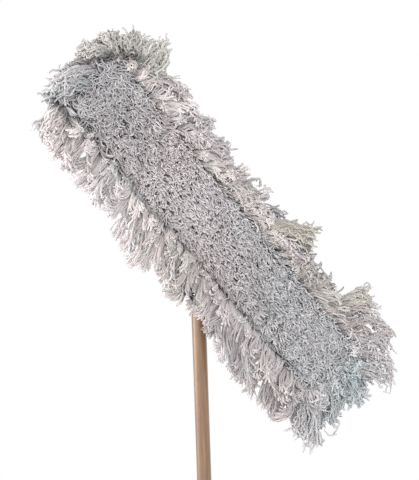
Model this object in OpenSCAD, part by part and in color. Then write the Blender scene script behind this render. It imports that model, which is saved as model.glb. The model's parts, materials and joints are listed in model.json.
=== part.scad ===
// Commercial dust mop: a cut-end cotton slip-on head on a wire frame, clipped to a swivelling
// yoke on a wooden pole. Millimetres. The pole runs up +Z from its butt, the yarn face looks
// along -Y and the back of the head, with the clip and the yoke, looks along +Y.

/* [Pose] */
// Angle of the head's long axis below the horizontal
head_angle = 50; // [0:1:180]

/* [Pole] */
// Length of the wooden pole from butt to tenon tip
pole_len = 1524; // [1200:1:1830]
// Diameter of the pole
pole_d = 24; // [22:0.5:30]
// Rounding radius of the butt end
butt_round = 8; // [3:0.5:10]
// Length of the tenon inside the socket
tenon_len = 78; // [70:1:110]
// Depth of the shoulder between pole and tenon
tenon_step = 1; // [0.5:0.1:2]
// Length of the cone that leads from pole to tenon
tenon_cone = 10; // [4:1:20]

/* [Socket] */
// Sheet thickness of the socket tube
socket_wall = 1.2; // [0.8:0.1:2]
// Gap between the pole's shoulder and the mouth of the socket
socket_gap = 2; // [1.5:0.5:4]
// Radius of the rolled bead at the mouth and of the crimp rib
bead_r = 1; // [0.6:0.1:1.4]
// Length of the cone above the tenon
neck_len = 22; // [14:1:32]
// Length of the nose that holds the tongue
nose_len = 14; // [10:1:22]
// Shank diameter of the rivets
rivet_d = 4; // [3:0.5:5]
// Head diameter of the rivets
rivet_head_d = 7; // [6:0.5:9]
// Height of the rivet heads
rivet_head_h = 1.6; // [1:0.1:2.4]
// Distance of the first rivet from the mouth of the socket
rivet_inset = 26; // [18:1:30]
// Distance between the two socket rivets
rivet_pitch = 30; // [16:1:34]

/* [Swivel] */
// Diameter of the tongue's shank
shank_d = 14.5; // [12:0.5:17]
// Diameter of the collar that seats on the nose
collar_d = 19; // [18:0.5:23]
// Height of the collar
collar_h = 4; // [2:0.5:7]
// Thickness of the tongue between the yoke's ears
tongue_t = 10; // [8:0.5:11]
// Width of the tongue, which is also its round end
tongue_w = 17; // [14:0.5:18]
// Distance from the collar to the tilt pin
tongue_reach = 22; // [18:1:32]
// Diameter of the tilt pin
pin_d = 8; // [6:0.5:9]
// Height of the tilt pin's heads
pin_head_h = 2.6; // [1.5:0.1:4]
// How far the tilt pin's heads stand past its shank all round
pin_head_lip = 2.5; // [1.5:0.1:3.5]
// Thickness of the washers beside the tongue
tilt_washer_t = 1; // [0.6:0.1:1.6]
// Width of those washers' rings
tilt_washer_w = 3.8; // [2:0.1:4.5]
// Sheet thickness of the yoke
yoke_t = 2.5; // [2:0.1:3.5]
// Inner radius of the yoke's bends
yoke_bend = 0.8; // [0.5:0.1:1.5]
// Width of the yoke's ears at the pin
ear_w = 20; // [18:0.5:24]
// Width of the yoke at its foot
foot_w = 27; // [25:0.5:32]
// Height of the tilt pin over the yoke's floor
pin_rise = 32; // [24:1:44]
// Diameter of the swivel rivet
swivel_d = 8; // [6:0.5:9]
// Height of the swivel rivet's button head
swivel_head_h = 2.6; // [1.6:0.1:4]
// Height of the swivel rivet's peened foot
swivel_foot_h = 1.8; // [1:0.1:1.9]
// How far that foot stands past the shank all round
swivel_foot_lip = 2.5; // [1.5:0.1:4]
// Thickness of the swivel washer
swivel_washer_t = 1.2; // [0.8:0.1:2]
// Diameter of the swivel washer
swivel_washer_d = 26; // [20:0.5:30]

/* [Clip] */
// Sheet thickness of the clip
clip_t = 2.5; // [2:0.1:3.2]
// Width of the clip across the head
clip_w = 32; // [30:1:40]
// How far the hooks reach under the bridge
hook_reach = 5.5; // [4:0.5:7]
// Height of the latch pin over the clip's plate
latch_rise = 7.4; // [6.8:0.1:10]
// Diameter of the latch pin
latch_pin_d = 3; // [2.4:0.1:3.6]
// Radius of the latch lever's eye
latch_eye_r = 4; // [3.4:0.1:4.4]
// Run of the thumb tab away from the yoke
tab_run = 13; // [9:0.5:16]
// Climb of the thumb tab over the latch pin
tab_climb = 6; // [4:0.5:8]
// Wire diameter of the latch spring
spring_d = 1; // [0.8:0.1:1.2]
// Turns of the latch spring
spring_turns = 4; // [3:1:5]
// Corner radius of the clip's plate
clip_round = 5; // [2:0.5:8]
// Corner radius of the thumb tab
tab_round = 6; // [3:0.5:8]

/* [Frame] */
// Length of the wire frame over its ends
frame_len = 604; // [450:1:900]
// Width of the wire frame over its sides
frame_w = 114; // [104:1:130]
// Diameter of the frame wire
wire_d = 5.3; // [4.6:0.1:5.6]
// Corner radius of the frame at the middle of the wire
frame_corner = 38; // [25:1:45]
// Sheet thickness of the saddle that joins the long wires
saddle_t = 2; // [1.6:0.1:2.4]
// Length of the saddle's bridge along the head
bridge_len = 64; // [58:1:72]
// Width of the bridge across the head
bridge_w = 76; // [66:1:80]
// Width of the saddle's wings where they curl round the wires
wing_len = 46; // [34:1:56]
// Height of the bridge's underside over the middle of the wire
bridge_rise = 3.9; // [3.6:0.1:5]
// Radius of the ribs pressed into the bridge on both sides of the clip
rib_r = 1.6; // [1:0.1:1.9]
// Length of those ribs
rib_len = 46; // [30:1:52]

/* [Cover] */
// How far the canvas backing stands past the frame at each end
cover_end = 11; // [10.5:0.5:20]
// How far the canvas backing stands past the frame at each side
cover_side = 10; // [9.5:0.5:16]
// Spare length of the cover, which hangs past the lower end of the frame
cover_slack = 32; // [0:1:40]
// Corner radius of the canvas backing
cover_corner = 45; // [40:1:50]
// Thickness of the backing
canvas_t = 1.8; // [1.2:0.1:2.4]
// Thickness of the pocket canvas
pocket_t = 1.2; // [0.8:0.1:1.6]
// Distance of the pocket mouths from the middle of the head
mouth_u = 72; // [66:1:110]
// Width of the sewn tapes at the pocket mouths
mouth_tape_w = 12; // [8:1:20]
// Thickness of the tapes
tape_t = 1; // [0.6:0.1:1.4]
// Width of the binding tape round the edge
binding_w = 5.6; // [4:0.1:6]

/* [Yarn] */
// Depth of the yarn face below the backing
pile_depth = 24; // [16:1:32]
// Depth of the sewn part of the yarn face
pile_root = 8; // [5:0.5:12]
// Rows of tufts across the face
pile_rows = 11; // [7:1:11]
// Tufts along each row
pile_cols = 54; // [30:1:56]
// Width of the band that carries the fringe
band_w = 12.5; // [12:0.5:16]
// Thickness of that band
band_t = 2; // [1.5:0.1:3]
// Locks along each long side
long_locks = 60; // [40:1:60]
// Locks round each end
end_locks = 20; // [16:1:20]
// Length of the outer row of locks
outer_lock_len = 58; // [50:1:70]
// Length of the inner row of locks
inner_lock_len = 72; // [64:1:84]
// Radius of the bend by which the outer row turns outward
outer_bend_r = 13; // [11:0.5:16]
// Radius of the bend by which the inner row turns outward
inner_bend_r = 21; // [19:0.5:25]
// Angle through which the locks bend
lock_bend = 98; // [80:1:105]
// Further angle through which the locks at the upper end curl back instead of drooping
crown_curl = 105; // [0:1:110]
// How far the tips droop with the pole upright
lock_droop = 20; // [0:0.5:22]
// How far the tips lean to either side
lock_lean = 0.8; // [0:0.1:1]

/* [Hidden] */
// Overrun of every cut
cut = 1;
// Gaps between pieces: held, seated, turning and soft
hold_gap = 0.02;
seat_gap = 0.1;
run_gap = 0.05;
soft_gap = 0.4;

// Shares of the sizes that they follow
lock_tip_share = 0.5;
lock_vary_share = 0.11;
tuft_vary_share = 0.16;
tenon_tip_share = 0.12;
tab_thick_share = 0.9;
// Outline of the pocket over the frame wire: height over the backing and distance past the
// wire's outer edge, both as shares of the wire's diameter
pocket_shares = [[0, 0.38], [1.42, 0.3], [2.1, -0.42]];

// The pole and its socket, upwards along Z
pole_r = pole_d / 2;
tenon_r = pole_r - tenon_step;
pole_top = pole_len - butt_round;
tenon_z = pole_top - tenon_len;
grip_len = tenon_z - tenon_cone;
socket_ri = tenon_r + seat_gap;
socket_ro = socket_ri + socket_wall;
mouth_z = tenon_z + socket_gap;
neck_z = pole_top + socket_gap;
nose_z = neck_z + neck_len;
nose_top = nose_z + nose_len;
nose_ri = shank_d / 2 + seat_gap;
nose_ro = nose_ri + socket_wall;
rivet_zs = [mouth_z + rivet_inset, mouth_z + rivet_inset + rivet_pitch];
tongue_rivet_z = nose_z + nose_len / 2;
collar_z = nose_top + seat_gap;
collar_top = collar_z + collar_h;
pin_z = collar_top + tongue_reach;

// Levels of the head, outwards along its back from the top of the backing
wire_r = wire_d / 2;
curl_ri = wire_r + seat_gap;
curl_ro = curl_ri + saddle_t;
wire_n = curl_ro + soft_gap;
bridge_n = wire_n + bridge_rise;
bridge_top = bridge_n + saddle_t;
clip_n = bridge_top + seat_gap;
clip_top = clip_n + clip_t;
latch_n = clip_top + latch_rise;
washer_n = clip_top + run_gap;
yoke_n = washer_n + swivel_washer_t + run_gap;
yoke_floor = yoke_n + yoke_t;
pin_n = yoke_floor + pin_rise;
pin_r = pin_d / 2;
swivel_r = swivel_d / 2;

// Across the yoke
tongue_half = tongue_t / 2;
washer_x = tongue_half + seat_gap;
ear_x = washer_x + tilt_washer_t + seat_gap;
ear_out_x = ear_x + yoke_t;
tilt_washer_r = pin_r + seat_gap + tilt_washer_w;
button_r = ear_x - yoke_bend - soft_gap;

// Along the clip
bridge_u = bridge_len / 2;
clip_v = clip_w / 2;
hook_u = bridge_u + soft_gap;
latch_u = bridge_u + soft_gap + clip_t;
clip_end = latch_u + latch_eye_r;
latch_pin_r = latch_pin_d / 2;
latch_v = clip_v - clip_t - soft_gap;
hook_n = bridge_n - soft_gap - clip_t;
spring_r = latch_pin_r + spring_d / 2 + soft_gap;
spring_pitch = spring_d + soft_gap + seat_gap;
spring_half = spring_turns * spring_pitch / 2;
spring_room = spring_half + spring_d / 2 + soft_gap;
tab_t = clip_t * tab_thick_share;

// The cover and its yarn
cover_len = frame_len + 2 * cover_end + cover_slack;
cover_mid = cover_slack / 2;
cover_w = frame_w + 2 * cover_side;
wire_u = frame_len / 2 - wire_r;
wire_v = frame_w / 2 - wire_r;
pocket_top = wire_d * pocket_shares[2][0];
flange_n = seat_gap + pocket_t;
binding_front = canvas_t + seat_gap + tape_t;
binding_back = flange_n + seat_gap + tape_t;
band_n = -binding_front - seat_gap;
pile_n = -canvas_t - seat_gap;
pile_inset = band_w + seat_gap + soft_gap + tape_t;
pull = [sin(head_angle), cos(head_angle)];

$fn = 48;

// Places and directions

// The yoke's frame: X along the tilt pin, Z out of the back of the head
module at_yoke() translate([0, -pin_n, pin_z]) rotate([-90, 0, 0]) children();

// The head's frame: X along the head, Y across it, Z out of its back
module at_head() translate([0, -pin_n, pin_z]) rotate([0, head_angle, 0]) rotate([-90, 0, 0])
    children();

// The middle of the cover, which hangs lower than that of the frame
module at_cover() at_head() translate([cover_mid, 0, 0]) children();

// An outline drawn as along-and-up, run across the head over a width
module across(width) rotate([90, 0, 0]) linear_extrude(width, center = true) children();

// An outline drawn as across-and-up, run along the head over a length
module along(length) rotate([90, 0, 90]) linear_extrude(length, center = true) children();

// Shapes that repeat

module rounded(length, width, r) {
    square([length - 2 * r, width], center = true);
    square([length, width - 2 * r], center = true);
    for (u = [-1, 1], v = [-1, 1])
        translate([u * (length / 2 - r), v * (width / 2 - r)]) circle(r);
}

module cover_outline(grow) rounded(cover_len + 2 * grow, cover_w + 2 * grow, cover_corner + grow);

module slab(low, high) translate([0, 0, low]) linear_extrude(high - low) children();

module ring(ri, ro, h) difference() {
    cylinder(r = ro, h = h);
    translate([0, 0, -cut]) cylinder(r = ri, h = h + 2 * cut);
}

// Half outline of a domed rivet head that stands on the level y = 0
module dome_outline(r, h) intersection() {
    ball = (r * r + h * h) / (2 * h);
    translate([0, h - ball]) circle(ball);
    square([r, h]);
}

// A rivet along Z between two seats that lie at plus and minus grip
module through_rivet(r, head_r, head_h, grip) rotate_extrude() {
    translate([0, -grip - seat_gap]) square([r, 2 * (grip + seat_gap)]);
    translate([0, grip + seat_gap]) dome_outline(head_r, head_h);
    mirror([0, 1]) translate([0, grip + seat_gap]) dome_outline(head_r, head_h);
}

// The two cross bores or rivets of the socket, one along X and one along Y
module at_socket_rivets() {
    translate([0, 0, rivet_zs[0]]) rotate([0, 90, 0]) children();
    translate([0, 0, rivet_zs[1]]) rotate([90, 0, 0]) children();
}

module cross_bore(r, half) translate([0, 0, -half]) cylinder(r = r, h = 2 * half);

// Pole and socket

module wood_handle() color("burlywood") difference() {
    rotate_extrude() {
        translate([0, -butt_round]) square([pole_r - butt_round, butt_round]);
        intersection() {
            translate([pole_r - butt_round, 0]) circle(butt_round);
            translate([pole_r - butt_round, -butt_round]) square(butt_round);
        }
        square([pole_r, grip_len]);
        polygon([[0, grip_len], [pole_r, grip_len], [tenon_r, tenon_z], [0, tenon_z]]);
        translate([0, tenon_z]) square([tenon_r, tenon_len * (1 - tenon_tip_share)]);
        polygon([
            [0, pole_top - tenon_len * tenon_tip_share],
            [tenon_r, pole_top - tenon_len * tenon_tip_share],
            [nose_ri, pole_top], [0, pole_top]
        ]);
    }
    at_socket_rivets() cross_bore(rivet_d / 2 + run_gap, pole_r + cut);
}

module handle_socket() color("silver") difference() {
    rotate_extrude() {
        polygon([
            [socket_ri, mouth_z], [socket_ro, mouth_z], [socket_ro, neck_z],
            [nose_ro, nose_z], [nose_ro, nose_top], [nose_ri, nose_top],
            [nose_ri, nose_z], [socket_ri, neck_z]
        ]);
        for (z = [mouth_z, (rivet_zs[0] + rivet_zs[1]) / 2])
            difference() {
                translate([socket_ro, z]) circle(bead_r);
                translate([0, z - bead_r - cut]) square([socket_ri + seat_gap, 2 * (bead_r + cut)]);
            }
    }
    at_socket_rivets() cross_bore(rivet_d / 2 + run_gap, socket_ro + cut);
    translate([0, 0, tongue_rivet_z]) rotate([0, 90, 0])
        cross_bore(rivet_d / 2 + run_gap, nose_ro + cut);
}

module socket_rivets() color("gainsboro")
    at_socket_rivets() through_rivet(rivet_d / 2, rivet_head_d / 2, rivet_head_h, socket_ro);

module pivot_tongue() color("darkgray") difference() {
    union() {
        translate([0, 0, nose_z]) cylinder(d = shank_d, h = collar_z - nose_z);
        translate([0, 0, collar_z]) cylinder(d = collar_d, h = collar_h);
        rotate([90, 0, 90]) linear_extrude(tongue_t, center = true) {
            translate([-tongue_w / 2, collar_top]) square([tongue_w, tongue_reach]);
            translate([0, pin_z]) circle(d = tongue_w);
        }
    }
    translate([0, 0, pin_z]) rotate([0, 90, 0]) cross_bore(pin_r + run_gap, tongue_half + cut);
    translate([0, 0, tongue_rivet_z]) rotate([0, 90, 0])
        cross_bore(rivet_d / 2 + run_gap, nose_ro + cut);
}

module tongue_rivet() color("gainsboro") translate([0, 0, tongue_rivet_z]) rotate([0, 90, 0])
    through_rivet(rivet_d / 2, rivet_head_d / 2, rivet_head_h, nose_ro);

// Yoke

// A folded U of sheet: flat floor, two ears and round bends
module yoke_section() {
    bend = yoke_bend + yoke_t;
    tall = pin_rise + ear_w + yoke_t;
    difference() {
        translate([0, yoke_n + tall / 2]) rounded(2 * ear_out_x, tall, bend);
        translate([0, yoke_floor + tall / 2]) rounded(2 * ear_x, tall, yoke_bend);
        translate([-ear_out_x - cut, yoke_n + tall - bend])
            square([2 * (ear_out_x + cut), bend + cut]);
    }
}

module yoke_side() {
    polygon([
        [-foot_w / 2, yoke_n], [foot_w / 2, yoke_n], [foot_w / 2, yoke_floor + yoke_t],
        [ear_w / 2, pin_n], [-ear_w / 2, pin_n], [-foot_w / 2, yoke_floor + yoke_t]
    ]);
    translate([0, pin_n]) circle(d = ear_w);
}

module swivel_yoke() color("silver") at_yoke() difference() {
    intersection() {
        rotate([90, 0, 0]) linear_extrude(foot_w + cut, center = true) yoke_section();
        rotate([90, 0, 90]) linear_extrude(2 * ear_out_x + cut, center = true) yoke_side();
    }
    translate([0, 0, yoke_n - cut]) cylinder(r = swivel_r + run_gap, h = yoke_t + 2 * cut);
    translate([0, 0, pin_n]) rotate([0, 90, 0]) cross_bore(pin_r + hold_gap, ear_out_x + cut);
}

module tilt_pin() color("gainsboro") at_yoke() translate([0, 0, pin_n]) rotate([0, 90, 0])
    through_rivet(pin_r, pin_r + pin_head_lip, pin_head_h, ear_out_x);

module tilt_washers() color("gainsboro") at_yoke() for (side = [0, 180])
    translate([0, 0, pin_n]) rotate([0, 90, side]) translate([0, 0, washer_x])
        ring(pin_r + seat_gap, tilt_washer_r, tilt_washer_t);

module swivel_washer() color("gainsboro") at_yoke() translate([0, 0, washer_n])
    ring(swivel_r + seat_gap, swivel_washer_d / 2, swivel_washer_t);

// Clip

module swivel_rivet() color("gainsboro") at_head() rotate_extrude() {
    translate([0, clip_n - swivel_foot_h])
        square([swivel_r + swivel_foot_lip, swivel_foot_h - hold_gap]);
    translate([0, clip_n - swivel_foot_h])
        square([swivel_r, yoke_floor + run_gap - clip_n + swivel_foot_h]);
    translate([0, yoke_floor + run_gap]) dome_outline(button_r, swivel_head_h);
}

module latch_ear() difference() {
    union() {
        translate([latch_u - latch_eye_r, clip_n]) square([2 * latch_eye_r, latch_n - clip_n]);
        translate([latch_u, latch_n]) circle(latch_eye_r);
    }
    translate([latch_u, latch_n]) circle(latch_pin_r + hold_gap);
}

// Plate with the fixed hook folded under the far edge of the bridge
module clip_plate() intersection() {
    across(clip_w + cut) {
        translate([-hook_u, clip_n]) square([hook_u + clip_end, clip_t]);
        translate([-hook_u - clip_t, hook_n]) square([clip_t, clip_top - hook_n]);
        translate([-hook_u - clip_t, hook_n]) square([clip_t + soft_gap + hook_reach, clip_t]);
    }
    slab(hook_n - cut, clip_top + cut) translate([clip_round + (clip_end - hook_u - clip_t) / 2, 0])
        rounded(hook_u + clip_t + clip_end + 2 * clip_round, clip_w, clip_round);
}

module clip_base() color("silver") at_head() difference() {
    union() {
        clip_plate();
        for (v = [-1, 1]) translate([0, v * (clip_v - clip_t / 2), 0]) across(clip_t) latch_ear();
    }
    // slot for the latch between its ears
    translate([latch_u - latch_eye_r - soft_gap, -latch_v - soft_gap, clip_n - cut])
        cube([clip_w, 2 * (latch_v + soft_gap), clip_t + 2 * cut]);
    translate([0, 0, clip_n - cut]) cylinder(r = swivel_r + hold_gap, h = clip_t + 2 * cut);
}

module latch_pin() color("gainsboro") at_head() translate([latch_u, 0, latch_n]) rotate([90, 0, 0])
    through_rivet(latch_pin_r, latch_pin_r + pin_head_lip / 2, clip_t / 2, clip_v);

// Leg with the moving hook, eye and thumb tab, seen from the side
module latch_outline() difference() {
    union() {
        translate([latch_u, latch_n]) circle(latch_eye_r);
        translate([latch_u - clip_t / 2, hook_n]) square([clip_t, latch_n - hook_n]);
        translate([bridge_u - hook_reach, hook_n])
            square([latch_u + clip_t / 2 - bridge_u + hook_reach, clip_t]);
        translate([latch_u, latch_n]) polygon([
            [0, latch_eye_r - tab_t], [tab_run, tab_climb - tab_t],
            [tab_run, tab_climb], [0, latch_eye_r]
        ]);
        translate([latch_u + tab_run, latch_n + tab_climb - tab_t / 2]) circle(tab_t);
    }
    translate([latch_u, latch_n]) circle(latch_pin_r + run_gap);
}

module latch_lever() color("silver") at_head() difference() {
    intersection() {
        across(2 * latch_v + cut) latch_outline();
        translate([latch_u + (tab_run + tab_t - clip_w) / 2, 0, 0])
            slab(hook_n - cut, latch_n + tab_climb + tab_t + cut)
                rounded(tab_run + tab_t + clip_w, 2 * latch_v, tab_round);
    }
    translate([latch_u - latch_eye_r - cut, -spring_room, latch_n - latch_eye_r - cut])
        cube([2 * (latch_eye_r + cut), 2 * spring_room, 2 * latch_eye_r + cut]);
}

// Latch spring: a coil round the latch pin with one leg on the plate and one under the tab

spring_rings = 8;
spring_sides = 6;
// Turn beyond the full ones by which the last leg rises towards the tab
spring_lift_share = 0.125;
spring_tab_share = 0.55;
spring_leg = latch_eye_r + clip_t;
spring_tab_u = tab_run * spring_tab_share;
tab_under = latch_eye_r - tab_t + (tab_climb - latch_eye_r) * spring_tab_share;

function spring_coil(turn) = let (a = 360 * turn)
    [spring_r * sin(a), -spring_half + spring_pitch * turn, -spring_r * cos(a)];

// A leg that stands on the plate, the coil, and a leg that pushes the tab up
spring_path = concat(
    [[-spring_leg, -spring_half, spring_d / 2 + seat_gap - latch_rise]],
    [for (k = [0:(spring_turns + spring_lift_share) * spring_rings]) spring_coil(k / spring_rings)],
    [[spring_tab_u, spring_half + spring_pitch * spring_lift_share, tab_under - spring_d / 2 - seat_gap]]
);

// Least gap of the coil to itself, on points a full turn apart
spring_gap = min([for (k = [0:(spring_turns - 1) * spring_rings])
    norm(spring_coil(k / spring_rings) - spring_coil(k / spring_rings + 1)) - spring_d]);
echo(latch_spring_least_gap = spring_gap);

function unit(a) = a / norm(a);

function tube_ring(path, k, r, sides) = let (
        t = unit(path[min(k + 1, len(path) - 1)] - path[max(k - 1, 0)]),
        side = unit(cross([0, 1, 0], t)),
        up = cross(t, side)
    ) [for (c = [0:sides - 1]) path[k] + r * (cos(360 * c / sides) * side + sin(360 * c / sides) * up)];

module tube(path, r, sides) {
    last = len(path) - 1;
    polyhedron(
        [for (k = [0:last]) each tube_ring(path, k, r, sides)],
        concat(
            [for (k = [0:last - 1], c = [0:sides - 1]) let (d = (c + 1) % sides)
                each [[k * sides + c, (k + 1) * sides + c, k * sides + d],
                      [k * sides + d, (k + 1) * sides + c, (k + 1) * sides + d]]],
            [for (c = [1:sides - 2]) each [[0, c, c + 1],
                [last * sides, last * sides + c + 1, last * sides + c]]]
        )
    );
}

module latch_spring() color("dimgray") at_head() translate([latch_u, 0, latch_n])
    tube(spring_path, spring_d / 2, spring_sides);

// Wire frame

// Sheet over the two long wires: a raised bridge, sloping wings and curls round the wires
module wing_section() difference() {
    union() {
        polygon([
            [bridge_w / 2 - saddle_t, bridge_n], [wire_v, wire_n + curl_ri],
            [wire_v, wire_n + curl_ro], [bridge_w / 2, bridge_top], [bridge_w / 2 - saddle_t, bridge_top]
        ]);
        translate([wire_v, wire_n]) circle(curl_ro);
    }
    translate([wire_v, wire_n]) circle(curl_ri);
    // mouth of the curl, on the inner side under the wing
    translate([wire_v - curl_ro - cut, wire_n - curl_ro - cut])
        square([curl_ro + cut - saddle_t, curl_ro + cut + curl_ri]);
}

module centre_saddle() color("silver") at_head() difference() {
    union() {
        slab(bridge_n, bridge_top) rounded(bridge_len, bridge_w, saddle_t);
        for (v = [-1, 1]) translate([0, v * (clip_v + bridge_w / 2) / 2, bridge_top]) rotate([0, 90, 0])
            cylinder(r = rib_r, h = rib_len, center = true);
        for (side = [0, 180]) rotate([0, 0, side]) along(wing_len) wing_section();
    }
    // clearance for the foot of the swivel rivet
    translate([0, 0, bridge_n - cut])
        cylinder(r = swivel_r + swivel_foot_lip + soft_gap, h = saddle_t + 2 * cut);
}

module frame_wire() color("silver") at_head() translate([0, 0, wire_n]) {
    run_u = wire_u - frame_corner;
    run_v = wire_v - frame_corner;
    // the long sides, one in two lengths that butt inside the saddle's curl
    translate([-run_u, -wire_v, 0]) rotate([0, 90, 0]) cylinder(r = wire_r, h = 2 * run_u);
    for (side = [-1, 1])
        translate([side * (run_u + seat_gap) / 2, wire_v, 0]) rotate([0, 90, 0])
            cylinder(r = wire_r, h = run_u - seat_gap, center = true);
    for (side = [-1, 1])
        translate([side * wire_u, -run_v, 0]) rotate([-90, 0, 0]) cylinder(r = wire_r, h = 2 * run_v);
    for (side = [-1, 1], end = [-1, 1])
        translate([end * run_u, side * run_v, 0])
            rotate([0, 0, side > 0 ? (end > 0 ? 0 : 90) : (end > 0 ? 270 : 180)])
                rotate_extrude(angle = 90) translate([frame_corner, 0]) circle(wire_r);
}

// Canvas cover

module canvas_backing() color("linen") at_cover() slab(-canvas_t, 0) cover_outline(0);

// Convex form over the wire, grown by the canvas thickness for its outside
module pocket_form(grow) hull() for (share = pocket_shares, u = [-1, 1], v = [-1, 1]) {
    past = share[1] * wire_d + grow;
    r = frame_corner + past;
    translate([
        u * (frame_len / 2 + past - r), v * (frame_w / 2 + past - r),
        share[0] * wire_d + (share[0] > 0 ? grow : 0)
    ]) cylinder(r = r, h = seat_gap, $fn = 32);
}

// One pocket round the frame's end at +X, on a cover whose middle lies at mid
module pocket(mid) difference() {
    union() {
        translate([mid, 0, 0]) slab(seat_gap, flange_n) cover_outline(-seat_gap);
        translate([0, 0, seat_gap]) pocket_form(pocket_t);
    }
    translate([0, 0, seat_gap]) pocket_form(0);
    slab(-cut, cut) rounded(frame_len, frame_w, frame_corner);
    translate([-cover_len, -cover_w, -cut]) cube([cover_len + mouth_u, 2 * cover_w, cover_w]);
}

module pocket_right() color("oldlace") at_head() pocket(cover_mid);

module pocket_left() color("oldlace") at_head() rotate([0, 0, 180]) pocket(-cover_mid);

module mouth_tapes() color("wheat") at_head() for (side = [-1, 1])
    translate([side * (mouth_u + mouth_tape_w / 2), 0, 0])
        slab(pocket_top + pocket_t + 3 * seat_gap, pocket_top + pocket_t + 3 * seat_gap + tape_t)
            square([mouth_tape_w, frame_w - 4 * wire_d], center = true);

module edge_binding() color("wheat") at_cover() difference() {
    slab(-binding_front, binding_back) cover_outline(seat_gap + tape_t);
    slab(-binding_front - cut, binding_back + cut) cover_outline(-binding_w);
    slab(-canvas_t - seat_gap, flange_n + seat_gap) cover_outline(seat_gap);
}

// Yarn face: rows of peaked tufts on a sewn slab

pile_u = cover_len / 2 - pile_inset;
pile_v = cover_w / 2 - pile_inset;
pile_corner = cover_corner - pile_inset;

// Half length of the face at a place across it
function pile_half(v) = let (over = max(0, abs(v) - pile_v + pile_corner))
    pile_u - pile_corner + sqrt(max(0, pile_corner * pile_corner - over * over));

function pile_place(i, j, level) = let (v = pile_v * (2 * j / pile_rows - 1))
    [pile_half(v) * (2 * i / pile_cols - 1), v, level];

// Uneven height of the tufts, by the sum of two waves that never fall into step
function tuft_level(i, j) = -pile_depth
    * (1 - tuft_vary_share * (1 + sin(137 * i + 71 * j) * cos(59 * i - 113 * j)) / 2);

function pile_at(i, j) = i * (pile_rows + 1) + j;

module yarn_pile() color("gainsboro") at_cover() {
    corners = pile_at(pile_cols + 1, 0);
    tufts = pile_cols * pile_rows;
    rim = concat(
        [for (i = [0:pile_cols]) [i, 0]],
        [for (j = [1:pile_rows]) [pile_cols, j]],
        [for (i = [1:pile_cols]) [pile_cols - i, pile_rows]],
        [for (j = [1:pile_rows - 1]) [0, pile_rows - j]]
    );
    rim_base = corners + tufts;
    polyhedron(
        concat(
            [for (i = [0:pile_cols], j = [0:pile_rows]) pile_place(i, j, -pile_root)],
            [for (i = [0:pile_cols - 1], j = [0:pile_rows - 1]) let (
                    m = (pile_place(i, j, 0) + pile_place(i + 1, j + 1, 0)) / 2
                ) [m[0], m[1], tuft_level(i, j)]],
            [for (p = rim) pile_place(p[0], p[1], pile_n)],
            [[0, 0, pile_n]]
        ),
        concat(
            [for (i = [0:pile_cols - 1], j = [0:pile_rows - 1]) let (
                    peak = corners + i * pile_rows + j,
                    loop = [pile_at(i, j), pile_at(i + 1, j), pile_at(i + 1, j + 1), pile_at(i, j + 1)]
                ) for (c = [0:3]) [loop[c], loop[(c + 1) % 4], peak]],
            [for (k = [0:len(rim) - 1]) let (
                    next = (k + 1) % len(rim),
                    a = pile_at(rim[k][0], rim[k][1]),
                    b = pile_at(rim[next][0], rim[next][1])
                ) each [[b, a, rim_base + k], [b, rim_base + k, rim_base + next]]],
            [for (k = [0:len(rim) - 1])
                [rim_base + len(rim), rim_base + (k + 1) % len(rim), rim_base + k]]
        )
    );
}

// Fringe: two rows of locks that grow from a sewn band, bend outward and droop

lock_rings = 3;
lock_rows = [[outer_lock_len, outer_bend_r], [inner_lock_len, inner_bend_r]];
quarter = PI / 2 * cover_corner;
end_run = cover_w - 2 * cover_corner;
side_run = cover_len / 2 - cover_corner - seat_gap;

// Edge of the cover as places with their outward directions: one long side, and one end with
// its two corners
long_edge = [for (i = [0:long_locks]) [[side_run * (2 * i / long_locks - 1), cover_w / 2], [0, 1]]];
end_edge = [for (i = [0:end_locks]) end_place((2 * quarter + end_run) * i / end_locks)];

function end_place(s) = s < quarter ? corner_place(90 * (1 - s / quarter), 1)
    : s > quarter + end_run ? corner_place(-90 * (s - quarter - end_run) / quarter, -1)
    : [[cover_len / 2, end_run / 2 - (s - quarter)], [1, 0]];

function corner_place(a, side) = [
    [cover_len / 2 - cover_corner + cover_corner * cos(a), side * end_run / 2 + cover_corner * sin(a)],
    [cos(a), sin(a)]
];

// Way of a lock after a length s: forward of the face, outward, and the angle it has bent
function lock_way(s, r, bend) = let (bent = min(bend, s / r * 180 / PI), rest = s - bent * PI / 180 * r)
    [r * sin(bent) + rest * cos(bent), r * (1 - cos(bent)) + rest * sin(bent), bent];

function lock_ring(edge, i, j, k, fall, curl) = let (
        t = k / lock_rings,
        last = len(edge) - 1,
        s = edge[i + 1][0] - edge[i][0],
        half_s = norm(s) / 2,
        step = [unit(s)[0], unit(s)[1], 0],
        o = unit(edge[i][1] + edge[i + 1][1]),
        out = [o[0], o[1], 0],
        vary = 1 + lock_vary_share * sin(97 * i + 50 * j),
        gone = vary * t,
        middling = sin(180 * (i + 0.5) / last),
        way = lock_way(lock_rows[j][0] * gone, lock_rows[j][1], lock_bend + curl * middling),
        inset = band_w * (j + 0.5) / 2 + seat_gap,
        root = (edge[i][0] + edge[i + 1][0]) / 2 - o * inset,
        lean = lock_lean * middling * sin(53 * i + 120 * j) * gone,
        sag = lock_droop * (curl > 0 ? 1 - middling : 1),
        middle = [root[0], root[1], band_n - band_t] + out * way[1] - [0, 0, way[0]]
            + step * lean + [fall[0], fall[1], 0] * sag * gone * gone,
        size = 1 + (lock_tip_share - 1) * t,
        fan = 1 + max(0, way[1] - inset) * norm(edge[i + 1][1] - edge[i][1]) / norm(s),
        a = step * half_s * size * fan,
        b = (out * cos(way[2]) + [0, 0, sin(way[2])]) * band_w / 4 * size
    ) [middle - a + b, middle + a + b, middle + a - b, middle - a - b];

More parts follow.
